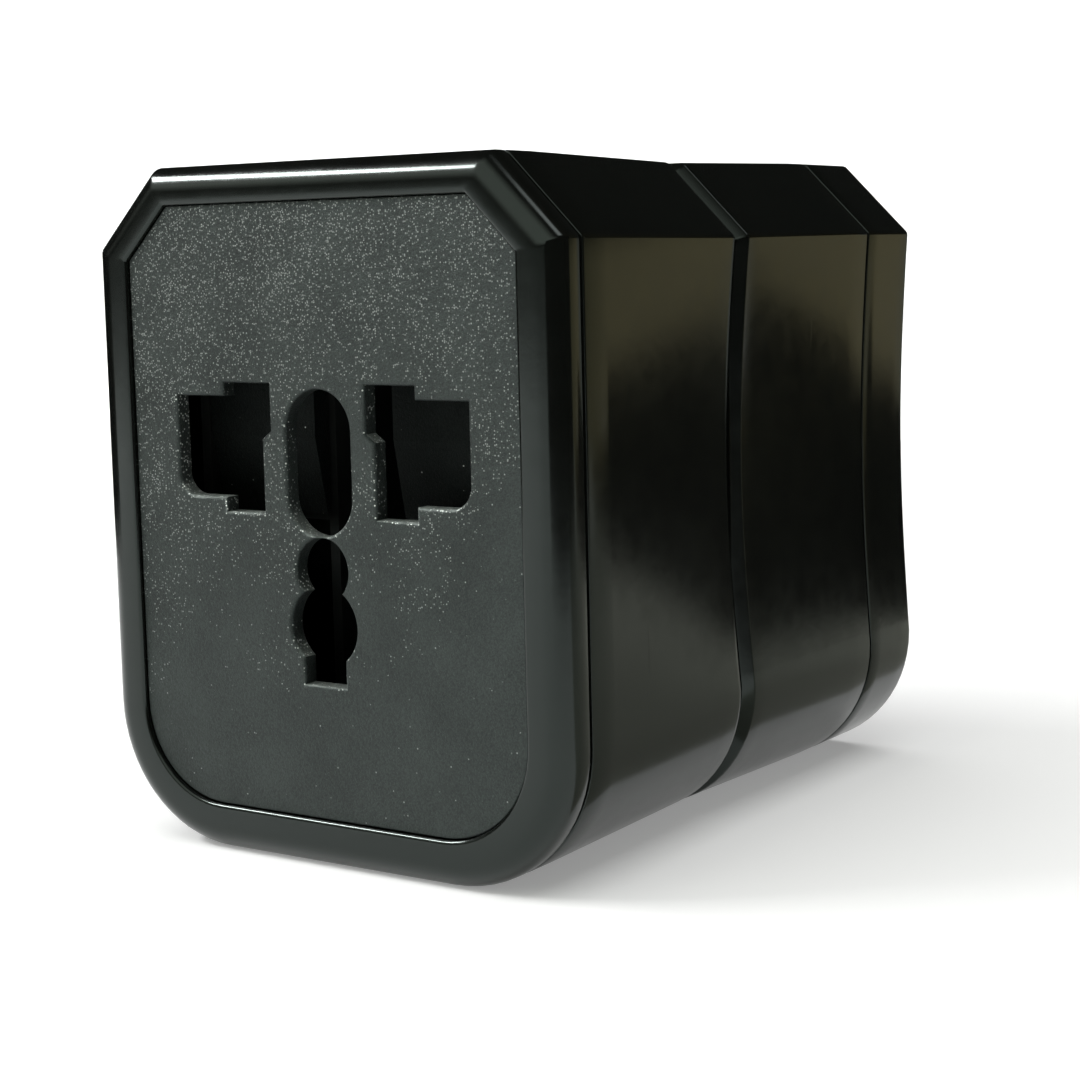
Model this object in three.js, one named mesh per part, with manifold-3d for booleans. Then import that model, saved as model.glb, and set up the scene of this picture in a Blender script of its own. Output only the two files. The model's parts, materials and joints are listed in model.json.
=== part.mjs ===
// A universal travel adapter: a socket module with twisting two-blade plug pins on its back, which
// pushes into a plug module that holds a three-pin carriage and a round-pin carriage on sliders.
// Millimetres, +Z up. The socket face looks along -Y, and the adapter stands on its flat bottom.
import * as THREE from 'three';
import { mergeVertices } from 'three/addons/utils/BufferGeometryUtils.js';
import Module from 'manifold-3d';

const wasm = await Module();
wasm.setup();

// Driving dimensions. "Depth" runs from the socket face (0) to the plug face (DEPTH).
const HALF_WIDTH = 29;
const HEIGHT = 70;
const DEPTH = 75;
const MID_HEIGHT = HEIGHT / 2;
const TOP_CHAMFER = 8;
const BOTTOM_RADIUS = 14.6;
const WALL = 2.6;
const REAR_WALL = 1.7;
const GAP = 0.4;
const FIT = 0.3;

// Where one housing piece ends and the next begins
const BEZEL_END = 3.8;
const FRONT_BODY_START = BEZEL_END + GAP;
const FRONT_BODY_END = 35;
const FRONT_BODY_FLOOR = 32.8;
const REAR_BODY_START = FRONT_BODY_END + GAP;
const WELL_PLATE_END = 37.5;
const LEDGE_START = WELL_PLATE_END + 0.3;
const LEDGE_END = 39;
const LEDGE_REACH = 1.4;
const REAR_BODY_END = 63.4;
const COVER_START = REAR_BODY_END + GAP;
const COVER_FLOOR = DEPTH - REAR_WALL;

// The finger grips: both sides are hollowed, deepest at the joint between the modules
const GRIP_START = 8;
const GRIP_REAR_END = 60;
const LIP_RADIUS = 2.2;
const JOINT_EDGE = 1;
const BEZEL_ROUND = 2.6;
const COVER_ROUND = 1.2;
const WAIST_DRAW = 0.45;
const GRIP_AT_JOINT = 1.35;
const GRIP_AT_REAR = 1;
const SIDE_STEPS = 6;
const ROUND_STEPS = 4;
const CORNER_SEGMENTS = 4;
const SMALL_RADIUS = 3;

// The textured panel that is set into the bezel
const PANEL_HALF_WIDTH = 24.2;
const PANEL_BOTTOM = 5;
const PANEL_TOP = 66;
const PANEL_CHAMFER = 5.4;
const PANEL_CORNER = 10;
const PANEL_RECESS = 0.5;
const PANEL_THICKNESS = 1.7;
const PANEL_LEDGE = 1.5;

// The openings of the socket, all through the face panel
const PIN_OPENING = {
  near: 6.05, shoulder: 7.15, notch: 12, far: 18.3,
  foot: 35.35, sill: 36.8, step: [42.8, 43.6], head: 46.95, crown: 48.3,
  corner: 2.3,
};
const MIDDLE_OPENING = { radius: 4, low: 37.3, high: 43.8 };
const EARTH_OPENING = {
  smallRadius: 3.2, smallHeight: 30,
  radius: 4.1, height: 24.4,
  tail: 2.55, foot: 18.5,
};

// The shutter behind the line and neutral openings, and the springs that push it down
const SHUTTER_FRONT = 6.2;
const SHUTTER_BACK = 8.4;
const SHUTTER_HALF_WIDTH = 18.9;
const SHUTTER_BOTTOM = 34.6;
const SHUTTER_TOP = 52.4;
const SHUTTER_SLOPE_TOP = 42.5;
const SHUTTER_WING_START = 5;
const SHUTTER_BRIDGE_BOTTOM = 49.2;
const SHUTTER_LIP = 0.6;
const PEG_HALF = 0.6;
const PEG_LENGTH = 1.5;
const SPRING_OFFSET = 12;
const SPRING_RADIUS = 1.7;
const SPRING_WIRE = 0.25;
const SPRING_TURNS = 5;

// The crate that holds the contacts behind the shutter
const CRATE_FRONT = 9;
const CRATE_FLOOR = 26.4;
const CRATE_HALF_WIDTH = 20.4;
const CRATE_WALL = 1.2;
const CELL_START = 5.6;
const CELL_END = 18.2;
const CELL_BOTTOM = 35;
const CELL_TOP = 48.8;
const EARTH_CELL_HALF = 4.6;
const EARTH_CELL_BOTTOM = 17.6;
const GUIDE_BOTTOM = 36;

// The brass contacts: a plate with two leaves that grip the pin, and a strap up to the blade
const SHEET = 0.6;
const CONTACT_BACK = 23.8;
const LEAF_FRONT = 12;
const LEAF_START = 8;
const LEAF_END = 17.2;
const LOWER_LEAF = 38.6;
const UPPER_LEAF = 44;
const FLARE_REACH = 1.2;

// The twisting blades and the wells that take them
const BLADE_OFFSET = 6.35;
const BLADE_HEIGHT = 56;
const BLADE_WIDTH = 6.35;
const BLADE_THICKNESS = 1.5;
const BLADE_TIP = FRONT_BODY_END + 17;
const BLADE_ROOT = 25;
const TURRET_NECK = 4.5;
const TURRET_FLANGE = 5.6;
const TURRET_STEM = 4.05;
const BLADE_BEVEL = 1.2;
const BLADE_HOLE_RADIUS = 1.6;
const BLADE_HOLE_SETBACK = 4;
const WELL_HALF = 4.4;
const WELL_RADIUS = 3.65;
const WELL_WALL = 0.8;

// The plate that keeps the turrets in, with a screw at each end
const RETAINER_HALF_WIDTH = 16.5;
const RETAINER_FRONT = 25.9;
const RETAINER_BACK = 28.9;
const RETAINER_BOTTOM = 51.2;
const RETAINER_TOP = 62;
const RETAINER_SCREW_OFFSET = 14.2;

// The pin carriages of the plug module, both shown drawn in
const CARRIAGE_THICKNESS = 3;
const UK_CARRIAGE = 47;
const UK_PIN_OFFSET = 11.1;
const UK_PIN_HEIGHT = 45;
const UK_PIN_WIDTH = 6.35;
const UK_PIN_THICKNESS = 4;
const UK_EARTH_WIDTH = 4;
const UK_EARTH_DEPTH = 8;
const UK_EARTH_HEIGHT = UK_PIN_HEIGHT - 22.2;
const UK_TRAVEL = 23;
const UK_PIN_TIP = DEPTH + 17.7 - UK_TRAVEL;
const UK_EARTH_TIP = DEPTH + 22.7 - UK_TRAVEL;
const EU_CARRIAGE = 50.5;
const EU_PIN_OFFSET = 9.5;
const EU_PIN_HEIGHT = 33;
const EU_PIN_RADIUS = 2;
const EU_TRAVEL = 19.5;
const EU_PIN_TIP = DEPTH + 19 - EU_TRAVEL;
const EU_SLIDER_HEIGHT = 25;
const UK_BAR_HALF_WIDTH = 15.6;
const UK_BAR_HALF_HEIGHT = 3.4;
const UK_STEM_HALF_WIDTH = 3.6;
const UK_STEM_BOTTOM = 17.4;
const EU_LEG_START = 6.3;
const EU_LEG_END = 12.7;
const EU_LEG_TOP = 36.2;
const EU_BASE_BOTTOM = 11;
const EU_BASE_TOP = 16;
const PIN_ROOT = 1.4;
const PIN_TAPER = 1.2;
const WIPER_THICKNESS = 0.8;
const GUIDE_RADIUS = 1.4;
const GUIDE_SEAT = 1.4;
const UK_GUIDE_HEIGHT = 38.5;
const EU_GUIDE_HEIGHT = 13.9;
const GUIDE_HEIGHTS = [UK_GUIDE_HEIGHT, EU_GUIDE_HEIGHT];
const GUIDE_END = 0.7;

// The finger sliders run in a flat track on the left side
const TRACK_FLOOR = 27.4;
const TRACK_HALF_HEIGHT = 4;
const TRACK_END = 74.4;
const SLOT_HALF_HEIGHT = 1.6;
const ARM_HALF_HEIGHT = 1.2;
const SLIDER_HALF_HEIGHT = 3.4;
const SLIDER_LEAD = 3;
const SLIDER_LENGTH = 6.6;
const TRACK_PLAY = 0.6;
const RIB_HEIGHT = 0.5;
const RIB_WIDTH = 0.8;

// The strips that carry the current from the wells to the carriages
const RAIL_OFFSET = 17.2;
const RAIL_THICKNESS = 0.8;
const RAIL_START = 38.4;
const RAIL_END = 71.5;
const RAIL_SPINE = 3.4;
const UPPER_RAIL = [50, 55];
const LOWER_RAIL = [28, 35];
const WIPER_REACH = RAIL_OFFSET - GAP;

// Four screws hold each module together
const SCREW_PLACES = [[-21.5, 57], [21.5, 57], [-19.5, 9.5], [19.5, 9.5]];
const POST_RADIUS = 2.3;
const PILOT_RADIUS = 1.3;
const SCREW_RADIUS = 1;
const HEAD_RADIUS = 1.9;
const HEAD_DEPTH = 1;
const SCREW_LENGTH = 14;
const PILOT_DEPTH = 18;
const DRIVE_HALF_LENGTH = 1.2;
const DRIVE_HALF_WIDTH = 0.3;
const DRIVE_DEPTH = 0.8;

// The fuse in the bottom of the socket module
const FUSE_HEIGHT = 10.5;
const FUSE_DEPTH = 18;
const FUSE_RADIUS = 2.3;
const FUSE_CAP_RADIUS = 2.6;
const FUSE_HALF_LENGTH = 7.4;
const FUSE_CAP_LENGTH = 4.5;
const CLIP_START = 8.6;
const CLIP_END = 11.2;
const CLIP_SHEET = 0.7;
const CLIP_HORN = 1.6;

// ---- materials -------------------------------------------------------------------------------

function material(color, roughness, metalness) {
  return new THREE.MeshStandardMaterial({ color, roughness, metalness, flatShading: true });
}

const glossBlack = () => material(0x141614, 0.16, 0);
const texturedBlack = () => material(0x2b2f2d, 0.62, 0);
const matteBlack = () => material(0x1c1d1c, 0.55, 0);
const brass = () => material(0xb9954d, 0.3, 1);
const nickel = () => material(0xb8b6ae, 0.25, 1);
const steel = () => material(0x8d9092, 0.35, 1);
const ceramic = () => material(0xd9d4c6, 0.4, 0);

// ---- solids ----------------------------------------------------------------------------------

function solid(geometry) {
  geometry.deleteAttribute('normal');
  geometry.deleteAttribute('uv');
  const merged = mergeVertices(geometry, 1e-4);
  return new wasm.Manifold(new wasm.Mesh({
    numProp: 3,
    vertProperties: merged.attributes.position.array,
    triVerts: Uint32Array.from(merged.index.array),
  }));
}

function named(name, body, look) {
  const data = body.getMesh();
  const geometry = new THREE.BufferGeometry();
  geometry.setAttribute('position', new THREE.BufferAttribute(data.vertProperties, 3));
  geometry.setIndex(new THREE.BufferAttribute(data.triVerts, 1));
  const mesh = new THREE.Mesh(geometry, look);
  mesh.name = name;
  return mesh;
}

// A shape drawn in x and height, made into a solid between two depths
function prism(shape, from, to, curveSegments = CORNER_SEGMENTS) {
  const geometry = new THREE.ExtrudeGeometry(shape, {
    depth: to - from,
    bevelEnabled: false,
    curveSegments,
  });
  geometry.rotateX(Math.PI / 2);
  geometry.translate(0, to - DEPTH / 2, 0);
  return solid(geometry);
}

// A shape drawn in depth and height, made into a solid between two places across the width
function crossPrism(shape, left, right) {
  const geometry = new THREE.ExtrudeGeometry(shape, { depth: right - left, bevelEnabled: false });
  const across = new THREE.Matrix4().makeBasis(
    new THREE.Vector3(0, 1, 0),
    new THREE.Vector3(0, 0, 1),
    new THREE.Vector3(1, 0, 0),
  );
  geometry.applyMatrix4(across);
  geometry.translate(left, -DEPTH / 2, 0);
  return solid(geometry);
}

function polygon(points) {
  return new THREE.Shape(points.map(([x, z]) => new THREE.Vector2(x, z)));
}

function rectangle(left, right, bottom, top) {
  return polygon([[left, bottom], [right, bottom], [right, top], [left, top]]);
}

function block(left, right, from, to, bottom, top) {
  return prism(rectangle(left, right, bottom, top), from, to);
}

function disc(x, z, radius, from, to) {
  const circle = new THREE.Shape().absarc(x, z, radius, 0, 2 * Math.PI);
  return prism(circle, from, to, radius < SMALL_RADIUS ? 7 : 12);
}

function crossRod(depth, z, radius, left, right) {
  return crossPrism(new THREE.Shape().absarc(depth, z, radius, 0, 2 * Math.PI), left, right);
}

function join(bodies) {
  return bodies.reduce((whole, body) => whole.add(body));
}

function cut(body, tools) {
  return tools.reduce((whole, tool) => whole.subtract(tool), body);
}

function bothSides(make) {
  return [-1, 1].map(make);
}

function span(a, b) {
  return [Math.min(a, b), Math.max(a, b)];
}

// A block on one side of the middle: near and far are distances from the middle
function sideBlock(side, near, far, from, to, bottom, top) {
  const [left, right] = span(side * near, side * far);
  return block(left, right, from, to, bottom, top);
}

// ---- the outer form --------------------------------------------------------------------------

// How far the grip hollow has come in at a height: none at either end of the flat side
function hollow(z) {
  const along = (z - BOTTOM_RADIUS) / (HEIGHT - TOP_CHAMFER - BOTTOM_RADIUS);
  return along > 0 && along < 1 ? Math.sin(Math.PI * along) : 0;
}

// 0 at both ends of the adapter and 1 at the joint between the modules
function waist(depth) {
  if (depth < FRONT_BODY_END) {
    const along = (depth - GRIP_START) / (FRONT_BODY_FLOOR - GRIP_START);
    return THREE.MathUtils.clamp(along, 0, 1);
  }
  const along = (GRIP_REAR_END - depth) / (GRIP_REAR_END - REAR_BODY_START - JOINT_EDGE);
  return THREE.MathUtils.clamp(along, 0, 1);
}

function gripDepth(depth) {
  const rear = depth > FRONT_BODY_END ? GRIP_AT_REAR : 0;
  return rear + (GRIP_AT_JOINT - rear) * waist(depth);
}

// The housing outline, drawn in from the outer size by an even margin
function housingOutline(margin = 0) {
  const half = HALF_WIDTH - margin;
  const top = HEIGHT - margin;
  const chamfer = TOP_CHAMFER - margin * (2 - Math.SQRT2);
  const radius = BOTTOM_RADIUS - margin;
  const shape = new THREE.Shape();
  shape.absarc(half - radius, BOTTOM_RADIUS, radius, -Math.PI / 2, 0);
  for (let step = 1; step < SIDE_STEPS; step += 1) {
    const z = THREE.MathUtils.lerp(BOTTOM_RADIUS, top - chamfer, step / SIDE_STEPS);
    shape.lineTo(half - 0.01 * hollow(z), z);
  }
  shape.lineTo(half, top - chamfer);
  shape.lineTo(half - chamfer, top);
  shape.lineTo(chamfer - half, top);
  shape.lineTo(-half, top - chamfer);
  for (let step = SIDE_STEPS - 1; step > 0; step -= 1) {
    const z = THREE.MathUtils.lerp(BOTTOM_RADIUS, top - chamfer, step / SIDE_STEPS);
    shape.lineTo(0.01 * hollow(z) - half, z);
  }
  shape.absarc(radius - half, BOTTOM_RADIUS, radius, Math.PI, 1.5 * Math.PI);
  return shape;
}

// A solid slice of the outer form through sections of { depth, inset }, front to back
function housing(sections) {
  const last = sections.length - 1;
  const geometry = new THREE.ExtrudeGeometry(housingOutline(), {
    depth: last,
    steps: last,
    bevelEnabled: false,
    curveSegments: CORNER_SEGMENTS,
  });
  const points = geometry.attributes.position;
  for (let i = 0; i < points.count; i += 1) {
    const { depth, inset } = sections[last - Math.round(points.getZ(i))];
    const z = points.getY(i);
    const drawIn = inset + WAIST_DRAW * waist(depth);
    const x = points.getX(i) * (1 - (drawIn + gripDepth(depth) * hollow(z)) / HALF_WIDTH);
    const raised = MID_HEIGHT + (z - MID_HEIGHT) * (1 - drawIn / MID_HEIGHT);
    points.setXYZ(i, x, depth - DEPTH / 2, raised);
  }
  return solid(geometry);
}

// Sections of a rounded edge. direction 1 rounds towards the back, -1 towards the front.
function roundedEdge(start, radius, direction) {
  const sections = [];
  for (let step = 0; step <= ROUND_STEPS; step += 1) {
    const angle = (step / ROUND_STEPS) * Math.PI / 2;
    sections.push({
      depth: start + direction * radius * Math.sin(angle),
      inset: radius * (1 - Math.cos(angle)),
    });
  }
  return direction > 0 ? sections : sections.reverse();
}

function evenSections(from, to, count) {
  const sections = [];
  for (let step = 0; step < count; step += 1) {
    sections.push({ depth: THREE.MathUtils.lerp(from, to, step / count), inset: 0 });
  }
  return sections;
}

function panelOutline(margin) {
  const half = PANEL_HALF_WIDTH - margin;
  const top = PANEL_TOP - margin;
  const bottom = PANEL_BOTTOM + margin;
  const chamfer = PANEL_CHAMFER - margin * (2 - Math.SQRT2);
  const radius = PANEL_CORNER - margin;
  const shape = new THREE.Shape();
  shape.absarc(half - radius, bottom + radius, radius, -Math.PI / 2, 0);
  shape.lineTo(half, top - chamfer);
  shape.lineTo(half - chamfer, top);
  shape.lineTo(chamfer - half, top);
  shape.lineTo(-half, top - chamfer);
  shape.absarc(radius - half, bottom + radius, radius, Math.PI, 1.5 * Math.PI);
  return shape;
}

// ---- the socket module: housing --------------------------------------------------------------

function frontBezel() {
  const rounded = roundedEdge(BEZEL_ROUND, BEZEL_ROUND, -1);
  const outer = housing([...rounded, { depth: BEZEL_END, inset: 0 }]);
  const seat = PANEL_RECESS + PANEL_THICKNESS + FIT;
  const ring = cut(outer, [
    prism(panelOutline(-FIT), -1, seat),
    prism(panelOutline(PANEL_LEDGE), 0, BEZEL_END + 1),
  ]);
  const posts = screwPosts(seat, FRONT_BODY_FLOOR - GAP);
  return cut(join([ring, ...posts]), pilotHoles(FRONT_BODY_FLOOR));
}

function screwPosts(from, to) {
  return SCREW_PLACES.map(([x, z]) => disc(x, z, POST_RADIUS, from, to));
}

// Blind holes for the screws, from the ends of their posts
function pilotHoles(end) {
  return SCREW_PLACES.map(([x, z]) => disc(x, z, PILOT_RADIUS, end - PILOT_DEPTH, end));
}

// One line or neutral opening, which takes straight, slanted, round and rectangular pins
function pinOpening(side) {
  const { near, shoulder, notch, far, foot, sill, step, head, crown, corner } = PIN_OPENING;
  const shape = new THREE.Shape();
  shape.moveTo(near * side, crown);
  shape.lineTo(near * side, step[1]);
  shape.lineTo(shoulder * side, step[0]);
  shape.lineTo(shoulder * side, foot);
  shape.lineTo(notch * side, foot);
  shape.lineTo(notch * side, sill);
  const start = side > 0 ? -Math.PI / 2 : 1.5 * Math.PI;
  const end = side > 0 ? 0 : Math.PI;
  shape.absarc((far - corner) * side, sill + corner, corner, start, end, side < 0);
  shape.lineTo(far * side, head);
  shape.lineTo(notch * side, head);
  shape.lineTo(notch * side, crown);
  return prism(shape, -1, BEZEL_END);
}

function middleOpening() {
  const { radius, low, high } = MIDDLE_OPENING;
  const shape = new THREE.Shape();
  shape.absarc(0, low, radius, Math.PI, 2 * Math.PI);
  shape.absarc(0, high, radius, 0, Math.PI);
  return prism(shape, -1, BEZEL_END, 6);
}

function earthOpening() {
  const { smallRadius, smallHeight, radius, height, tail, foot } = EARTH_OPENING;
  return join([
    disc(0, smallHeight, smallRadius, -1, BEZEL_END),
    disc(0, height, radius, -1, BEZEL_END),
    block(-tail, tail, -1, BEZEL_END, foot, height),
  ]);
}

function facePlate() {
  const plate = prism(panelOutline(0), PANEL_RECESS, PANEL_RECESS + PANEL_THICKNESS);
  return cut(plate, [...bothSides(pinOpening), middleOpening(), earthOpening()]);
}

function frontBody() {
  const outer = housing([
    { depth: FRONT_BODY_START, inset: 0 },
    ...evenSections(GRIP_START, FRONT_BODY_FLOOR, 4),
    ...roundedEdge(FRONT_BODY_FLOOR, LIP_RADIUS, 1),
  ]);
  const inside = prism(housingOutline(WALL), 0, FRONT_BODY_FLOOR);
  const turretHoles = bothSides((side) => {
    return disc(side * BLADE_OFFSET, BLADE_HEIGHT, TURRET_NECK + FIT, FRONT_BODY_FLOOR - 1, DEPTH);
  });
  return cut(outer, [inside, ...turretHoles, ...screwHoles(FRONT_BODY_END, FRONT_BODY_FLOOR)]);
}

// Clearance holes and sunk seats for the heads, in a wall that ends at a face
function screwHoles(face, floor) {
  return SCREW_PLACES.flatMap(([x, z]) => [
    disc(x, z, PILOT_RADIUS, floor - 1, face + 1),
    disc(x, z, HEAD_RADIUS + FIT, face - HEAD_DEPTH - FIT, face + 1),
  ]);
}

// A screw with a sunk head, seen from its face, with a cross cut into it
function screw([x, z], face) {
  const shoulder = face - HEAD_DEPTH;
  const head = disc(x, z, HEAD_RADIUS, shoulder, face - FIT);
  const shank = disc(x, z, SCREW_RADIUS, shoulder - SCREW_LENGTH, shoulder);
  const cross = [
    [DRIVE_HALF_LENGTH, DRIVE_HALF_WIDTH],
    [DRIVE_HALF_WIDTH, DRIVE_HALF_LENGTH],
  ].map(([wide, high]) => block(x - wide, x + wide, face - DRIVE_DEPTH, face, z - high, z + high));
  return cut(head.add(shank), cross);
}

// ---- the socket module: inside ---------------------------------------------------------------

// An open-fronted crate with a cell for each contact, on legs that stand on the back wall
function contactCarrier() {
  const back = CRATE_FLOOR + CRATE_WALL;
  const top = CELL_TOP + CRATE_WALL;
  const bottom = CELL_BOTTOM - CRATE_WALL;
  const stemHalf = EARTH_CELL_HALF + CRATE_WALL;
  const body = [
    block(-CRATE_HALF_WIDTH, CRATE_HALF_WIDTH, CRATE_FRONT, back, bottom, top),
    block(-stemHalf, stemHalf, CRATE_FRONT, back, EARTH_CELL_BOTTOM - CRATE_WALL, CELL_BOTTOM),
  ];
  const near = SHUTTER_HALF_WIDTH + FIT;
  const far = CRATE_HALF_WIDTH;
  const guides = bothSides((side) => {
    return sideBlock(side, near, far, SHUTTER_FRONT, CRATE_FRONT + 1, GUIDE_BOTTOM, top);
  });
  const legEnd = FRONT_BODY_FLOOR - GAP;
  const legs = bothSides((side) => sideBlock(side, 14, 18, CRATE_FLOOR, legEnd, 36, 40));
  const front = CRATE_FRONT - 1;
  const cells = bothSides((side) => {
    return sideBlock(side, CELL_START, CELL_END, front, CRATE_FLOOR, CELL_BOTTOM, CELL_TOP);
  });
  const middle = block(-EARTH_CELL_HALF, EARTH_CELL_HALF, front, CRATE_FLOOR, EARTH_CELL_BOTTOM, CELL_TOP);
  const exits = bothSides((side) => {
    return sideBlock(side, LEAF_START - 0.5, LEAF_START + 3.5, CONTACT_BACK - SHEET, CRATE_FLOOR, 48, 51);
  });
  return cut(join([...body, ...guides, ...legs]), [...cells, middle, ...exits]);
}

// Two leaves grip the pin, and a strap runs up to the root of the blade
function socketContact(side) {
  const end = CONTACT_BACK + SHEET;
  const middle = (LOWER_LEAF + UPPER_LEAF + SHEET) / 2;
  const plate = sideBlock(side, 6.4, 17.4, CONTACT_BACK, end, middle - 5.4, middle + 5.4);
  const leaves = [LOWER_LEAF, UPPER_LEAF].map((z) => {
    return sideBlock(side, LEAF_START, LEAF_END, LEAF_FRONT, end, z, z + SHEET);
  });
  const flares = [leafFlare(side, LOWER_LEAF + SHEET, -1), leafFlare(side, UPPER_LEAF, 1)];
  const strapEnd = LEAF_START + 3;
  const strap = sideBlock(side, LEAF_START, strapEnd, CONTACT_BACK, end, UPPER_LEAF + 2, BLADE_HEIGHT);
  const pad = disc(side * BLADE_OFFSET, BLADE_HEIGHT, 3, CONTACT_BACK, end);
  return join([plate, ...leaves, ...flares, strap, pad]);
}

// The mouth of a leaf, bent away from the pin. inside is the leaf's face towards the pin.
function leafFlare(side, inside, way) {
  const outside = inside + way * SHEET;
  const [left, right] = span(side * LEAF_START, side * LEAF_END);
  const bend = [
    [LEAF_FRONT, inside],
    [LEAF_FRONT + SHEET, inside],
    [LEAF_FRONT + SHEET, outside],
    [LEAF_FRONT - 0.8, outside + way * FLARE_REACH],
    [LEAF_FRONT - FLARE_REACH, outside + way * (FLARE_REACH - 0.4)],
  ];
  return crossPrism(polygon(way > 0 ? bend : bend.reverse()), left, right);
}

// The shutter's lower front edge slopes, so that a pair of pins lifts it as they go in
function shutter() {
  const wing = polygon([
    [SHUTTER_FRONT, SHUTTER_TOP],
    [SHUTTER_FRONT, SHUTTER_SLOPE_TOP],
    [SHUTTER_BACK - SHUTTER_LIP, SHUTTER_BOTTOM],
    [SHUTTER_BACK, SHUTTER_BOTTOM],
    [SHUTTER_BACK, SHUTTER_TOP],
  ]);
  const wings = bothSides((side) => {
    const [left, right] = span(side * SHUTTER_WING_START, side * SHUTTER_HALF_WIDTH);
    return crossPrism(wing, left, right);
  });
  const half = SHUTTER_WING_START + 1;
  const bridge = block(-half, half, SHUTTER_FRONT, SHUTTER_BACK, SHUTTER_BRIDGE_BOTTOM, SHUTTER_TOP);
  const middle = (SHUTTER_FRONT + SHUTTER_BACK) / 2;
  const [front, back] = [middle - PEG_HALF, middle + PEG_HALF];
  const pegs = bothSides((side) => {
    const x = side * SPRING_OFFSET;
    return block(x - PEG_HALF, x + PEG_HALF, front, back, SHUTTER_TOP - 0.5, SHUTTER_TOP + PEG_LENGTH);
  });
  return join([...wings, bridge, ...pegs]);
}

class Coil extends THREE.Curve {
  constructor(centre, bottom, top) {
    super();
    this.centre = centre;
    this.bottom = bottom;
    this.top = top;
  }

  getPoint(t, target = new THREE.Vector3()) {
    const angle = t * SPRING_TURNS * 2 * Math.PI;
    return target.set(
      this.centre.x + SPRING_RADIUS * Math.cos(angle),
      this.centre.y + SPRING_RADIUS * Math.sin(angle),
      THREE.MathUtils.lerp(this.bottom, this.top, t),
    );
  }
}

function shutterSpring(side) {
  const middle = (SHUTTER_FRONT + SHUTTER_BACK) / 2 - DEPTH / 2;
  const centre = new THREE.Vector2(side * SPRING_OFFSET, middle);
  const bottom = SHUTTER_TOP + FIT + SPRING_WIRE;
  const top = HEIGHT - WALL - FIT - SPRING_WIRE;
  const section = new THREE.Shape().absarc(0, 0, SPRING_WIRE, 0, 2 * Math.PI);
  const geometry = new THREE.ExtrudeGeometry(section, {
    steps: SPRING_TURNS * 8,
    curveSegments: 3,
    extrudePath: new Coil(centre, bottom, top),
  });
  return solid(geometry);
}

// The round root of a blade, which turns in the back wall and is kept in by its flange
function turret(side) {
  const x = side * BLADE_OFFSET;
  const body = join([
    disc(x, BLADE_HEIGHT, TURRET_STEM, CRATE_FLOOR, FRONT_BODY_FLOOR),
    disc(x, BLADE_HEIGHT, TURRET_FLANGE, RETAINER_BACK + 0.5, FRONT_BODY_FLOOR - FIT),
    disc(x, BLADE_HEIGHT, TURRET_NECK, FRONT_BODY_FLOOR - 1, FRONT_BODY_END),
  ]);
  const halfSlot = BLADE_THICKNESS / 2 + FIT;
  const halfHeight = BLADE_WIDTH / 2 + FIT;
  return body.subtract(block(
    x - halfSlot, x + halfSlot, BLADE_ROOT, DEPTH, BLADE_HEIGHT - halfHeight, BLADE_HEIGHT + halfHeight,
  ));
}

function blade(side) {
  const x = side * BLADE_OFFSET;
  const low = BLADE_HEIGHT - BLADE_WIDTH / 2;
  const high = BLADE_HEIGHT + BLADE_WIDTH / 2;
  const outline = polygon([
    [BLADE_ROOT, low],
    [BLADE_TIP - BLADE_BEVEL, low],
    [BLADE_TIP, low + BLADE_BEVEL],
    [BLADE_TIP, high - BLADE_BEVEL],
    [BLADE_TIP - BLADE_BEVEL, high],
    [BLADE_ROOT, high],
  ]);
  const flat = crossPrism(outline, x - BLADE_THICKNESS / 2, x + BLADE_THICKNESS / 2);
  const [left, right] = [x - BLADE_THICKNESS, x + BLADE_THICKNESS];
  const holeDepth = BLADE_TIP - BLADE_HOLE_SETBACK;
  return flat.subtract(crossRod(holeDepth, BLADE_HEIGHT, BLADE_HOLE_RADIUS, left, right));
}

function bladeRetainer() {
  const outline = rectangle(-RETAINER_HALF_WIDTH, RETAINER_HALF_WIDTH, RETAINER_BOTTOM, RETAINER_TOP);
  const bore = (x, radius) => disc(x, BLADE_HEIGHT, radius + FIT, BLADE_ROOT, FRONT_BODY_FLOOR);
  return cut(prism(outline, RETAINER_FRONT, RETAINER_BACK), [
    ...bothSides((side) => bore(side * BLADE_OFFSET, TURRET_STEM)),
    ...bothSides((side) => bore(side * RETAINER_SCREW_OFFSET, SCREW_RADIUS)),
  ]);
}

function retainerScrew(side) {
  const x = side * RETAINER_SCREW_OFFSET;
  const face = RETAINER_FRONT - FIT;
  return join([
    disc(x, BLADE_HEIGHT, SCREW_RADIUS, face, FRONT_BODY_FLOOR - FIT),
    disc(x, BLADE_HEIGHT, HEAD_RADIUS, face - HEAD_DEPTH, face),
  ]);
}

function fuseTube() {
  return crossRod(FUSE_DEPTH, FUSE_HEIGHT, FUSE_RADIUS, -FUSE_HALF_LENGTH, FUSE_HALF_LENGTH);
}

function fuseCap(side) {
  const near = FUSE_HALF_LENGTH + FIT;
  const [left, right] = span(side * near, side * (near + FUSE_CAP_LENGTH));
  return crossRod(FUSE_DEPTH, FUSE_HEIGHT, FUSE_CAP_RADIUS, left, right);
}

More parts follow.
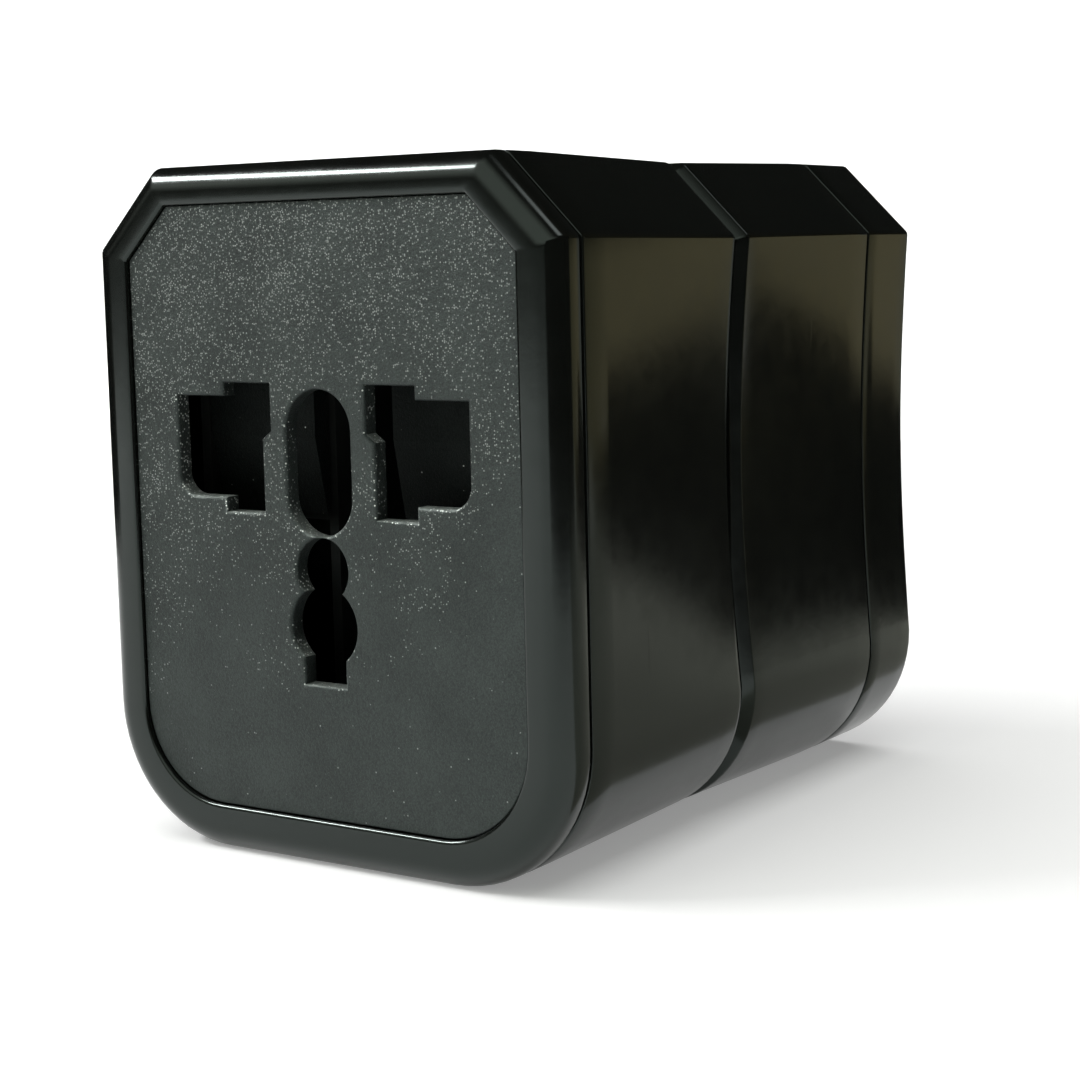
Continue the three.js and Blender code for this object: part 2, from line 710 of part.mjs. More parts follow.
// A spring clip: two sides that hug the fuse's cap, open at the top and hollow at the foot
function fuseClip(side) {
  const [left, right] = span(side * CLIP_START, side * CLIP_END);
  const seat = FUSE_CAP_RADIUS + FIT;
  const outer = seat + CLIP_SHEET;
  const slice = (halfDepth, bottom, top) => {
    return block(left - 1, right + 1, FUSE_DEPTH - halfDepth, FUSE_DEPTH + halfDepth, bottom, top);
  };
  const [front, back] = [FUSE_DEPTH - outer, FUSE_DEPTH + outer];
  const base = block(left, right, front, back, WALL + FIT, FUSE_HEIGHT + CLIP_HORN);
  return cut(base, [
    crossRod(FUSE_DEPTH, FUSE_HEIGHT, seat, left - 1, right + 1),
    slice(seat - CLIP_SHEET, FUSE_HEIGHT, HEIGHT),
    slice(seat, WALL + FIT + CLIP_SHEET, FUSE_HEIGHT - seat - CLIP_SHEET),
  ]);
}

// ---- the plug module: housing ----------------------------------------------------------------

// The flat track and the slot through the wall for one slider on the left side
function sliderTrack(height, carriage) {
  const [trackBottom, trackTop] = [height - TRACK_HALF_HEIGHT, height + TRACK_HALF_HEIGHT];
  const [slotBottom, slotTop] = [height - SLOT_HALF_HEIGHT, height + SLOT_HALF_HEIGHT];
  const start = carriage - SLIDER_LEAD - TRACK_PLAY;
  return [
    block(-HALF_WIDTH - 1, -TRACK_FLOOR, start, TRACK_END, trackBottom, trackTop),
    block(-HALF_WIDTH, WALL - HALF_WIDTH + 1, carriage - GAP, COVER_FLOOR + 0.1, slotBottom, slotTop),
  ];
}

function sliderTracks() {
  return [...sliderTrack(UK_PIN_HEIGHT, UK_CARRIAGE), ...sliderTrack(EU_SLIDER_HEIGHT, EU_CARRIAGE)];
}

// A tube open at both ends, with a ledge inside that the well plate is drawn back against
function rearBody() {
  const outer = housing([
    { depth: REAR_BODY_START, inset: JOINT_EDGE },
    ...evenSections(REAR_BODY_START + JOINT_EDGE, GRIP_REAR_END, 5),
    { depth: GRIP_REAR_END, inset: 0 },
    { depth: REAR_BODY_END, inset: 0 },
  ]);
  return cut(outer, [
    prism(housingOutline(WALL), 0, LEDGE_START),
    prism(housingOutline(WALL + LEDGE_REACH), 0, DEPTH),
    prism(housingOutline(WALL), LEDGE_END, DEPTH),
    ...sliderTracks(),
  ]);
}

// The front wall of the plug module: two wells for the blades, and the posts for the cover's screws
function wellPlate() {
  const postEnd = COVER_FLOOR - GAP;
  const plate = prism(housingOutline(WALL + FIT), REAR_BODY_START, WELL_PLATE_END);
  const posts = screwPosts(WELL_PLATE_END - 1, postEnd);
  const wells = bothSides((side) => block(
    side * BLADE_OFFSET - WELL_HALF, side * BLADE_OFFSET + WELL_HALF, 0, DEPTH,
    BLADE_HEIGHT - WELL_HALF, BLADE_HEIGHT + WELL_HALF,
  ));
  const seats = GUIDE_HEIGHTS.map((z) => {
    return disc(0, z, GUIDE_RADIUS + FIT, WELL_PLATE_END - GUIDE_SEAT, WELL_PLATE_END + 1);
  });
  return cut(join([plate, ...posts]), [...wells, ...seats, ...pilotHoles(postEnd)]);
}

// A rod that a carriage slides along, held in seats in the well plate and the rear cover
function guideRod(height) {
  return disc(0, height, GUIDE_RADIUS, WELL_PLATE_END - GUIDE_SEAT + FIT, COVER_FLOOR + GUIDE_END);
}

function rearCover() {
  const outer = housing([
    { depth: COVER_START, inset: 0 },
    ...roundedEdge(DEPTH - COVER_ROUND, COVER_ROUND, 1),
  ]);
  const inside = prism(housingOutline(WALL), 0, COVER_FLOOR);
  const ukHoles = bothSides((side) => prism(ukPinSection(side, FIT), COVER_FLOOR - 1, DEPTH + 1));
  const earthHole = prism(ukEarthSection(FIT), COVER_FLOOR - 1, DEPTH + 1);
  const euHoles = bothSides((side) => euPinBore(side));
  const seats = GUIDE_HEIGHTS.map((z) => {
    return disc(0, z, GUIDE_RADIUS + FIT, COVER_FLOOR - 1, COVER_FLOOR + GUIDE_END + FIT);
  });
  const pinHoles = [...ukHoles, earthHole, ...euHoles];
  return cut(outer, [inside, ...pinHoles, ...seats, ...sliderTracks(), ...screwHoles(DEPTH, COVER_FLOOR)]);
}

// ---- the plug module: pins, carriages and current strips --------------------------------------

function ukPinSection(side, margin) {
  const x = side * UK_PIN_OFFSET;
  const halfWidth = UK_PIN_WIDTH / 2 + margin;
  const halfHeight = UK_PIN_THICKNESS / 2 + margin;
  return rectangle(x - halfWidth, x + halfWidth, UK_PIN_HEIGHT - halfHeight, UK_PIN_HEIGHT + halfHeight);
}

function ukEarthSection(margin) {
  const halfWidth = UK_EARTH_WIDTH / 2 + margin;
  const halfHeight = UK_EARTH_DEPTH / 2 + margin;
  return rectangle(-halfWidth, halfWidth, UK_EARTH_HEIGHT - halfHeight, UK_EARTH_HEIGHT + halfHeight);
}

// A T: the bar holds line and neutral, and the stem holds the earth pin
function ukCarriage() {
  const back = UK_CARRIAGE + CARRIAGE_THICKNESS;
  const barBottom = UK_PIN_HEIGHT - UK_BAR_HALF_HEIGHT;
  const barTop = UK_PIN_HEIGHT + UK_BAR_HALF_HEIGHT;
  const bar = block(-UK_BAR_HALF_WIDTH, UK_BAR_HALF_WIDTH, UK_CARRIAGE, back, barBottom, barTop);
  const stem = block(-UK_STEM_HALF_WIDTH, UK_STEM_HALF_WIDTH, UK_CARRIAGE, back, UK_STEM_BOTTOM, barTop);
  return cut(join([bar, stem, sliderArm(UK_PIN_HEIGHT, UK_CARRIAGE, UK_BAR_HALF_WIDTH - 1)]), [
    ...bothSides((side) => prism(ukPinSection(side, FIT), 0, DEPTH)),
    prism(ukEarthSection(FIT), 0, DEPTH),
    disc(0, UK_GUIDE_HEIGHT, GUIDE_RADIUS + FIT, 0, DEPTH),
  ]);
}

// The arm of a carriage, which reaches its slider through the slot in the left wall
function sliderArm(height, carriage, near) {
  return block(
    -TRACK_FLOOR, -near, carriage, carriage + CARRIAGE_THICKNESS,
    height - ARM_HALF_HEIGHT, height + ARM_HALF_HEIGHT,
  );
}

// A flat pin, with a wiper on its root that rubs on the upper track of the current strip
function ukPin(side) {
  const root = UK_CARRIAGE - PIN_ROOT;
  const end = root + WIPER_THICKNESS;
  const foot = sideBlock(side, 8, WIPER_REACH, root, end, UK_PIN_HEIGHT - 1.8, UK_PIN_HEIGHT + 1.8);
  const wiper = sideBlock(side, 13, WIPER_REACH, root, end, UK_PIN_HEIGHT + 1, UPPER_RAIL[1] - 1);
  return join([taperedPin((margin) => ukPinSection(side, margin), root, UK_PIN_TIP), foot, wiper]);
}

function ukEarthPin() {
  return taperedPin(ukEarthSection, UK_CARRIAGE - PIN_ROOT, UK_EARTH_TIP);
}

// A straight shank with a smaller step at the tip, from a section that takes a margin
function taperedPin(section, root, tip) {
  const shank = prism(section(0), root, tip - PIN_TAPER);
  return shank.add(prism(section(-0.7), tip - PIN_TAPER - FIT, tip));
}

// A U that passes round the earth pin, with one round pin in each leg
function euCarriage() {
  const back = EU_CARRIAGE + CARRIAGE_THICKNESS;
  const legs = bothSides((side) => {
    return sideBlock(side, EU_LEG_START, EU_LEG_END, EU_CARRIAGE, back, EU_BASE_BOTTOM, EU_LEG_TOP);
  });
  const base = block(-EU_LEG_END, EU_LEG_END, EU_CARRIAGE, back, EU_BASE_BOTTOM, EU_BASE_TOP);
  return cut(join([...legs, base, sliderArm(EU_SLIDER_HEIGHT, EU_CARRIAGE, EU_LEG_END - 1)]), [
    ...bothSides((side) => euPinBore(side)),
    disc(0, EU_GUIDE_HEIGHT, GUIDE_RADIUS + FIT, 0, DEPTH),
  ]);
}

function euPinBore(side) {
  return disc(side * EU_PIN_OFFSET, EU_PIN_HEIGHT, EU_PIN_RADIUS + FIT, 0, DEPTH + 1);
}

// A round pin with a wiper on its root that rubs on the lower track of the current strip
function euPin(side) {
  const root = EU_CARRIAGE - PIN_ROOT;
  const profile = [
    [0, root],
    [EU_PIN_RADIUS, root],
    [EU_PIN_RADIUS, EU_PIN_TIP - PIN_TAPER],
    [EU_PIN_RADIUS - 0.35, EU_PIN_TIP - 0.4],
    [EU_PIN_RADIUS - 1.1, EU_PIN_TIP],
    [0, EU_PIN_TIP],
  ].map(([radius, depth]) => new THREE.Vector2(radius, depth - DEPTH / 2));
  const turned = new THREE.LatheGeometry(profile, 20);
  turned.translate(side * EU_PIN_OFFSET, 0, EU_PIN_HEIGHT);
  const [low, high] = [EU_PIN_HEIGHT - 1.5, EU_PIN_HEIGHT + 1.5];
  const wiper = sideBlock(side, EU_PIN_OFFSET, WIPER_REACH, root, root + WIPER_THICKNESS, low, high);
  return solid(turned).add(wiper);
}

// A fork with a track for each carriage's wiper, and a sleeve that takes one blade
function currentStrip(side) {
  const far = RAIL_OFFSET + RAIL_THICKNESS;
  const sleeveRadius = WELL_RADIUS + WELL_WALL;
  const top = BLADE_HEIGHT + sleeveRadius;
  const spineEnd = RAIL_START + RAIL_SPINE;
  const plates = [
    sideBlock(side, RAIL_OFFSET, far, RAIL_START, spineEnd, LOWER_RAIL[0], top),
    sideBlock(side, RAIL_OFFSET, far, RAIL_START, RAIL_END, ...UPPER_RAIL),
    sideBlock(side, RAIL_OFFSET, far, RAIL_START, RAIL_END, ...LOWER_RAIL),
    sideBlock(side, BLADE_OFFSET, far, RAIL_START, spineEnd, top - RAIL_THICKNESS, top),
  ];
  const x = side * BLADE_OFFSET;
  const sleeve = disc(x, BLADE_HEIGHT, sleeveRadius, WELL_PLATE_END + GAP, BLADE_TIP + 1);
  return join([...plates, sleeve]).subtract(disc(x, BLADE_HEIGHT, WELL_RADIUS, 0, DEPTH));
}

// A ribbed finger pad in the track on the left side
function slider(height, carriage) {
  const front = carriage - SLIDER_LEAD;
  const back = front + SLIDER_LENGTH;
  const inner = -TRACK_FLOOR - FIT;
  const face = -HALF_WIDTH + RIB_HEIGHT;
  const pad = block(face, inner, front, back, height - SLIDER_HALF_HEIGHT, height + SLIDER_HALF_HEIGHT);
  const ribs = [];
  for (let start = front + RIB_WIDTH; start + RIB_WIDTH < back; start += 2 * RIB_WIDTH) {
    ribs.push(block(-HALF_WIDTH, inner, start, start + RIB_WIDTH, height - 3, height + 3));
  }
  return join([pad, ...ribs]);
}

// ---- assembly --------------------------------------------------------------------------------

const group = new THREE.Group();
const left = -1;
const right = 1;

group.add(
  named('front_bezel', frontBezel(), glossBlack()),
  named('face_plate', facePlate(), texturedBlack()),
  named('front_body', frontBody(), glossBlack()),
  named('contact_carrier', contactCarrier(), matteBlack()),
  named('shutter', shutter(), matteBlack()),
  named('blade_retainer', bladeRetainer(), matteBlack()),
  named('fuse_tube', fuseTube(), ceramic()),
  named('rear_body', rearBody(), glossBlack()),
  named('well_plate', wellPlate(), matteBlack()),
  named('guide_rod_upper', guideRod(UK_GUIDE_HEIGHT), steel()),
  named('guide_rod_lower', guideRod(EU_GUIDE_HEIGHT), steel()),
  named('rear_cover', rearCover(), glossBlack()),
  named('uk_carriage', ukCarriage(), matteBlack()),
  named('uk_earth_pin', ukEarthPin(), matteBlack()),
  named('uk_slider', slider(UK_PIN_HEIGHT, UK_CARRIAGE), matteBlack()),
  named('eu_carriage', euCarriage(), matteBlack()),
  named('eu_slider', slider(EU_SLIDER_HEIGHT, EU_CARRIAGE), matteBlack()),
);

for (const [side, place] of [[left, 'left'], [right, 'right']]) {
  group.add(
    named(`socket_contact_${place}`, socketContact(side), brass()),
    named(`shutter_spring_${place}`, shutterSpring(side), steel()),
    named(`turret_${place}`, turret(side), matteBlack()),
    named(`blade_${place}`, blade(side), nickel()),
    named(`retainer_screw_${place}`, retainerScrew(side), steel()),
    named(`fuse_cap_${place}`, fuseCap(side), nickel()),
    named(`fuse_clip_${place}`, fuseClip(side), brass()),
    named(`current_strip_${place}`, currentStrip(side), brass()),
    named(`uk_pin_${place}`, ukPin(side), brass()),
    named(`eu_pin_${place}`, euPin(side), nickel()),
  );
}

SCREW_PLACES.forEach((place, index) => {
  group.add(
    named(`front_screw_${index + 1}`, screw(place, FRONT_BODY_END), steel()),
    named(`rear_screw_${index + 1}`, screw(place, DEPTH), steel()),
  );
});

export default group;
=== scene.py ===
"""The looks of a universal travel adapter, built round its CAD frame. Metres, +Z up, socket face to -Y."""
import json
import math

import bmesh
import bpy
from mathutils import Matrix, Vector


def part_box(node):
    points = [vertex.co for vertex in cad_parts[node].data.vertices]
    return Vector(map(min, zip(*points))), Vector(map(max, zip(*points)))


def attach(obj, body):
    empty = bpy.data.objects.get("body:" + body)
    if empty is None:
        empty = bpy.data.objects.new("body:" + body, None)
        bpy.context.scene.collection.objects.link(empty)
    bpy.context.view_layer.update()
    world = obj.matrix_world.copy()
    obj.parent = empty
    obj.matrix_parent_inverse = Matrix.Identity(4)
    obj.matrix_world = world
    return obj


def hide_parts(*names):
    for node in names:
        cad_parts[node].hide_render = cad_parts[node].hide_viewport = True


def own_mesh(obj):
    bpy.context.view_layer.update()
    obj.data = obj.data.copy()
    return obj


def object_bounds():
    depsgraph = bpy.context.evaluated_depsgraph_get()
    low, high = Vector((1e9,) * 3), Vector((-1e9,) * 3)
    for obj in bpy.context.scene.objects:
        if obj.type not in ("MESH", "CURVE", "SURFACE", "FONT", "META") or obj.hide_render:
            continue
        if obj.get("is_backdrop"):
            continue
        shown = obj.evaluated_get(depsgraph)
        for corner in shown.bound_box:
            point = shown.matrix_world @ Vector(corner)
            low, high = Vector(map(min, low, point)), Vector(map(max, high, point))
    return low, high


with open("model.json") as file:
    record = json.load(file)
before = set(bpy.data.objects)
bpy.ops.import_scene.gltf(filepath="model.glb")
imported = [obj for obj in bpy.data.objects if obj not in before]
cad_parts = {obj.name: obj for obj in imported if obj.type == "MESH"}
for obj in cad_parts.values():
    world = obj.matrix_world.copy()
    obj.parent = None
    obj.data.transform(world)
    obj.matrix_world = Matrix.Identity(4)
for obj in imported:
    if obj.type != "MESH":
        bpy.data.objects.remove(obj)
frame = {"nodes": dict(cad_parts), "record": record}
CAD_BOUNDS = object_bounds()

MM = 0.001

# ---- measures taken from the frame ---------------------------------------------------------

LOW, HIGH = CAD_BOUNDS
HALF_WIDTH = HIGH.x
HEIGHT = HIGH.z
FRONT, REAR = LOW.y, HIGH.y
FRONT_BODY_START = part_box("front_body")[0].y
FRONT_BODY_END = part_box("front_body")[1].y
REAR_BODY_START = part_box("rear_body")[0].y
COVER_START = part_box("rear_cover")[0].y
SEAM = REAR_BODY_START - FRONT_BODY_END
PANEL_LOW, PANEL_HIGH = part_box("face_plate")

# The outer form, as in the CAD source
TOP_CHAMFER = 8 * MM
BOTTOM_RADIUS = 14.6 * MM
WALL = 2.6 * MM
GRIP_START = FRONT + 8 * MM
GRIP_REAR_END = FRONT + 60 * MM
LIP_START = FRONT + 32.8 * MM
LIP_RADIUS = 2.2 * MM
JOINT_EDGE = 1 * MM
BEZEL_ROUND = 2.6 * MM
COVER_ROUND = 1.2 * MM
WAIST_DRAW = 0.45 * MM
GRIP_AT_JOINT = 1.35 * MM
GRIP_AT_REAR = 1.0 * MM
EDGE = 0.22 * MM

PANEL_CHAMFER = 5.4 * MM
PANEL_CORNER = 10 * MM
PANEL_EDGE = 0.15 * MM
PANEL_GAP = 0.1 * MM
PANEL_LEDGE = 1.5 * MM
FIT_GAP = 0.3 * MM

# The bezel's rounded mouth round the panel: its radius, then depth and inset as parts of it
MOUTH_ROUND = 0.4 * MM
MOUTH_STEPS = ((0.075, 0.425), (0.275, 0.775), (0.575, 0.95), (1, 1))
RIM_ROUND = 0.42 * MM

# Small radii where two flat sides meet, and the steps along the flat side of an outline
HOUSING_SOFT = 0.7 * MM
INNER_SOFT = 0.5 * MM
PANEL_SOFT = 0.4 * MM
SIDE_STEPS = 28
SIDE_END = 1.2 * MM
PANEL_SIDE_END = 0.8 * MM
CASE_BEVEL = 0.2 * MM
NODE_BEVEL = 0.12 * MM


# ---- outlines and lofts ----------------------------------------------------------------------


def arc(cx, cz, radius, start, end, steps):
    """Points of an arc, angles in degrees."""
    points = []
    for i in range(steps + 1):
        angle = math.radians(start + (end - start) * i / steps)
        points.append((cx + radius * math.cos(angle), cz + radius * math.sin(angle)))
    return points


def fillet(corner, before, after, radius):
    """Points that round a corner between two directions towards its neighbours."""
    corner, before, after = Vector(corner), Vector(before), Vector(after)
    one = (before - corner).normalized()
    two = (after - corner).normalized()
    half = one.angle(two) / 2
    centre = corner + (one + two).normalized() * (radius / math.sin(half))
    start = corner + one * (radius / math.tan(half)) - centre
    turn = math.pi - 2 * half
    if one.cross(two) > 0:
        turn = -turn
    steps = 5
    points = []
    for i in range(steps + 1):
        spin = Matrix.Rotation(turn * i / steps, 2)
        points.append(tuple(centre + spin @ start))
    return points


def plate_outline(half, low, high, chamfer, radius, soft, side):
    """Right half from the bottom centre to the top centre, then its mirror image.

    side gives the points of the flat side, from low to high.
    """
    right = arc(half - radius, low + radius, radius, -90, 0, 16)
    right += side
    shoulder = (half, high - chamfer)
    crown = (half - chamfer, high)
    right += fillet(shoulder, (half, low), crown, soft)
    right += fillet(crown, shoulder, (0, high), soft)
    return right + [(-x, z) for x, z in reversed(right)]


def hollow(z):
    """How far the grip hollow has come in at a height: 0 at both ends of the flat side, 1 half way."""
    along = (z - BOTTOM_RADIUS) / (HEIGHT - TOP_CHAMFER - BOTTOM_RADIUS)
    return math.sin(math.pi * along) if 0 < along < 1 else 0.0


def waist(y):
    """0 at both ends of the adapter and 1 at the joint between the modules."""
    if y < FRONT_BODY_END:
        along = (y - GRIP_START) / (LIP_START - GRIP_START)
    else:
        along = (GRIP_REAR_END - y) / (GRIP_REAR_END - REAR_BODY_START - JOINT_EDGE)
    return min(1.0, max(0.0, along))


def grip_depth(y):
    """How deep the finger hollow is at a depth, deepest at the joint."""
    rear = GRIP_AT_REAR if y > FRONT_BODY_END else 0.0
    return rear + (GRIP_AT_JOINT - rear) * waist(y)


def housing_ring(y, inset=0.0):
    """The outer form at one depth, drawn in by inset."""
    margin = inset + WAIST_DRAW * waist(y)
    half = HALF_WIDTH - margin
    radius = BOTTOM_RADIUS - margin
    chamfer = TOP_CHAMFER - margin * (2 - math.sqrt(2))
    grip = grip_depth(y)
    side_low = BOTTOM_RADIUS
    side_high = HEIGHT - margin - chamfer - SIDE_END
    side = []
    for i in range(1, SIDE_STEPS):
        z = side_low + (side_high - side_low) * i / SIDE_STEPS
        side.append((half - grip * hollow(z), z))
    points = plate_outline(half, margin, HEIGHT - margin, chamfer, radius, HOUSING_SOFT, side)
    return [Vector((x, y, z)) for x, z in points]


def flat_side(half, low, high):
    """Points up a straight side."""
    return [(half, low + (high - low) * i / SIDE_STEPS) for i in range(1, SIDE_STEPS)]


def edge_rings(y, inward):
    """The soft edge of a case shell that ends at y. inward is 1 or -1, towards the rest of the shell."""
    steps = ((0, 1), (0.3, 0.3), (1, 0))
    return [housing_ring(y + inward * EDGE * along, EDGE * inset) for along, inset in steps]


def inner_ring(y, margin=WALL):
    """The straight inner wall of a case shell at one depth."""
    half = HALF_WIDTH - margin
    chamfer = TOP_CHAMFER - margin * (2 - math.sqrt(2))
    side_high = HEIGHT - margin - chamfer - SIDE_END
    side = flat_side(half, BOTTOM_RADIUS, side_high)
    radius = BOTTOM_RADIUS - margin
    points = plate_outline(half, margin, HEIGHT - margin, chamfer, radius, INNER_SOFT, side)
    return [Vector((x, y, z)) for x, z in points]


def panel_ring(y, margin=0.0):
    """The outline of the face panel at one depth, drawn in by margin."""
    half = PANEL_HIGH.x - margin
    low = PANEL_LOW.z + margin
    high = PANEL_HIGH.z - margin
    chamfer = PANEL_CHAMFER - margin * (2 - math.sqrt(2))
    side_low = low + PANEL_CORNER - margin
    side = flat_side(half, side_low, high - chamfer - PANEL_SIDE_END)
    points = plate_outline(half, low, high, chamfer, PANEL_CORNER - margin, PANEL_SOFT, side)
    return [Vector((x, y, z)) for x, z in points]


def mesh_object(name, bm):
    """A new object of the scene from a bmesh, which is used up."""
    bmesh.ops.recalc_face_normals(bm, faces=bm.faces)
    mesh = bpy.data.meshes.new(name)
    bm.to_mesh(mesh)
    bm.free()
    obj = bpy.data.objects.new(name, mesh)
    bpy.context.scene.collection.objects.link(obj)
    return obj


def loft(name, rings, closed=False):
    """A skin through rings with equal counts of points, capped at both ends or closed on itself."""
    bm = bmesh.new()
    rows = [[bm.verts.new(p) for p in ring] for ring in rings]
    pairs = list(zip(rows, rows[1:]))
    if closed:
        pairs.append((rows[-1], rows[0]))
    count = len(rows[0])
    for one, two in pairs:
        for i in range(count):
            j = (i + 1) % count
            bm.faces.new((one[i], one[j], two[j], two[i]))
    if not closed:
        bm.faces.new(rows[0])
        bm.faces.new(rows[-1])
    return mesh_object(name, bm)


def rounding(start, radius, steps=6):
    """(depth offset, inset) pairs of a rounded edge, from the flat side to the end face."""
    pairs = []
    for i in range(steps + 1):
        angle = math.pi / 2 * i / steps
        pairs.append((start + radius * math.sin(angle), radius * (1 - math.cos(angle))))
    return pairs


# ---- finishing a mesh ------------------------------------------------------------------------


def baked(obj):
    """Applies the object's modifiers."""
    graph = bpy.context.evaluated_depsgraph_get()
    mesh = bpy.data.meshes.new_from_object(obj.evaluated_get(graph))
    obj.modifiers.clear()
    obj.data = mesh
    return obj


def carved(obj, cutters):
    """Cuts every cutter out of the object and removes the cutters."""
    for cutter in cutters:
        cut = obj.modifiers.new("cut", "BOOLEAN")
        cut.operation = "DIFFERENCE"
        cut.solver = "EXACT"
        cut.object = cutter
    baked(obj)
    for cutter in cutters:
        bpy.data.objects.remove(cutter)
    return obj


def softened(obj, width, angle):
    """Rounds the edges sharper than angle and smooths the rest."""
    bevel = obj.modifiers.new("soft_edges", "BEVEL")
    bevel.width = width
    bevel.segments = 2
    bevel.limit_method = "ANGLE"
    bevel.angle_limit = math.radians(angle)
    bevel.use_clamp_overlap = True
    bevel.harden_normals = True
    smooth(obj)
    return obj


def smooth(obj, angle=35):
    obj.data.shade_smooth()
    obj.data.set_sharp_from_angle(angle=math.radians(angle))
    return obj


def weighted(obj, weight):
    """Lets the large faces set the shading, so that they stay even up to an opening's edge."""
    weigh = obj.modifiers.new("even_faces", "WEIGHTED_NORMAL")
    weigh.keep_sharp = True
    weigh.weight = weight


def prism(name, points, y0, y1):
    """A straight solid between two depths from (x, z) points."""
    ring0 = [Vector((x, y0, z)) for x, z in points]
    ring1 = [Vector((x, y1, z)) for x, z in points]
    return loft(name, [ring0, ring1])


def grown(points, by):
    """An outline moved outwards, with mitred corners."""
    count = len(points)
    pairs = [(points[i], points[(i + 1) % count]) for i in range(count)]
    turn = 1 if sum(a[0] * b[1] - b[0] * a[1] for a, b in pairs) > 0 else -1
    moved = []
    for i in range(count):
        corner = Vector(points[i])
        before = (corner - Vector(points[i - 1])).normalized()
        after = (Vector(points[(i + 1) % count]) - corner).normalized()
        out_before = Vector((before.y, -before.x)) * turn
        out_after = Vector((after.y, -after.x)) * turn
        middle = (out_before + out_after).normalized()
        moved.append(tuple(corner + middle * by / middle.dot(out_before)))
    return moved


def flared(name, points, front, back):
    """A cutter that leaves a rounded rim where it meets the front face."""
    steps = 5
    rings = [(back, points)]
    for i in range(steps + 1):
        angle = math.pi / 2 * i / steps
        depth = front + RIM_ROUND * (1 - math.sin(angle))
        rings.append((depth, grown(points, RIM_ROUND * (1 - math.cos(angle)))))
    rings.append((front - MM, grown(points, RIM_ROUND)))
    return loft(name, [[Vector((x, y, z)) for x, z in ring] for y, ring in rings])


def circle(x, z, radius, steps=48):
    return arc(x, z, radius, 0, 360 - 360 / steps, steps - 1)


def rectangle(x0, x1, z0, z1):
    return [(x0, z0), (x1, z0), (x1, z1), (x0, z1)]


# ---- the socket module -----------------------------------------------------------------------

SCREWS = []
for number in range(1, 5):
    low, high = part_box(f"rear_screw_{number}")
    SCREWS.append(((low.x + high.x) / 2, (low.z + high.z) / 2))
BLADE_X = [(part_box(f"blade_{s}")[0].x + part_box(f"blade_{s}")[1].x) / 2 for s in ("left", "right")]
BLADE_Z = (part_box("blade_left")[0].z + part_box("blade_left")[1].z) / 2
TURRET_HOLE = 4.8 * MM
HEAD_SEAT = 2.2 * MM
HEAD_DEPTH = 1.3 * MM
SCREW_BORE = 1.3 * MM
BORE_DEPTH = 4 * MM


def screw_cutters(face, outward):
    """Bores and head seats for the four screws in a wall whose outer face is given."""
    outside = face + outward * MM
    cutters = []
    for x, z in SCREWS:
        bore, seat = circle(x, z, SCREW_BORE, 24), circle(x, z, HEAD_SEAT, 40)
        cutters.append(prism("bore", bore, face - outward * BORE_DEPTH, outside))
        cutters.append(prism("seat", seat, face - outward * HEAD_DEPTH, outside))
    return cutters


def make_bezel():
    """A glossy ring: rounded outside, with a small step down to the textured panel."""
    back = FRONT_BODY_START - SEAM
    seat = PANEL_HIGH.y + FIT_GAP
    mouth = -PANEL_GAP - MOUTH_ROUND
    rings = edge_rings(back, -1)
    for depth, inset in rounding(0, BEZEL_ROUND, 12):
        rings.append(housing_ring(FRONT + BEZEL_ROUND - depth, inset))
    rings.append(panel_ring(FRONT, mouth))
    for depth, inset in MOUTH_STEPS:
        rings.append(panel_ring(FRONT + MOUTH_ROUND * depth, mouth + MOUTH_ROUND * inset))
    rings.append(panel_ring(seat, -PANEL_GAP))
    rings.append(panel_ring(seat, PANEL_LEDGE))
    rings.append(panel_ring(back, PANEL_LEDGE))
    bezel = loft("bezel_ring", rings, closed=True)
    smooth(bezel)
    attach(bezel, "socket_module")
    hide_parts("front_bezel")
    return bezel


def pin_opening(side):
    """One line or neutral opening, mirrored by side: a wide slot joined to a tall one nearer the middle."""
    outer, between, notched, inner = 18.3, 12, 7.15, 6.05
    foot, low, high, top = 35.35, 36.8, 46.95, 48.3
    corner = 2.3
    points = [(inner, top), (inner, 43.6), (notched, 42.8), (notched, foot)]
    points += [(between, foot), (between, low)]
    points += arc(outer - corner, low + corner, corner, -90, 0, 12)
    points += [(outer, high), (between, high), (between, top)]
    return [(x * side * MM, z * MM) for x, z in points]


def middle_opening():
    """An upright slot with round ends."""
    radius, low, high = 4, 37.3, 43.8
    points = arc(0, low, radius, 180, 360, 28) + arc(0, high, radius, 0, 180, 28)
    return [(x * MM, z * MM) for x, z in points]


def earth_openings():
    """Two round holes and a square tail that run into each other."""
    small = circle(0, 30.0, 3.2, 64)
    large = circle(0, 24.4, 4.1, 72)
    tail = rectangle(-2.55, 2.55, 18.5, 24)
    return [[(x * MM, z * MM) for x, z in shape] for shape in (small, large, tail)]


def make_face():
    """The flat textured panel with its openings for foreign plugs."""
    rings = [panel_ring(PANEL_HIGH.y)]
    for depth, inset in rounding(0, PANEL_EDGE, 3):
        rings.append(panel_ring(PANEL_LOW.y + PANEL_EDGE - depth, inset))
    face = loft("face_panel", rings)
    shapes = [pin_opening(1), pin_opening(-1), middle_opening()] + earth_openings()
    carved(face, [flared("opening", shape, PANEL_LOW.y, PANEL_HIGH.y + MM) for shape in shapes])
    smooth(face, 40)
    weighted(face, 100)
    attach(face, "socket_module")
    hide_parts("face_plate")
    return face


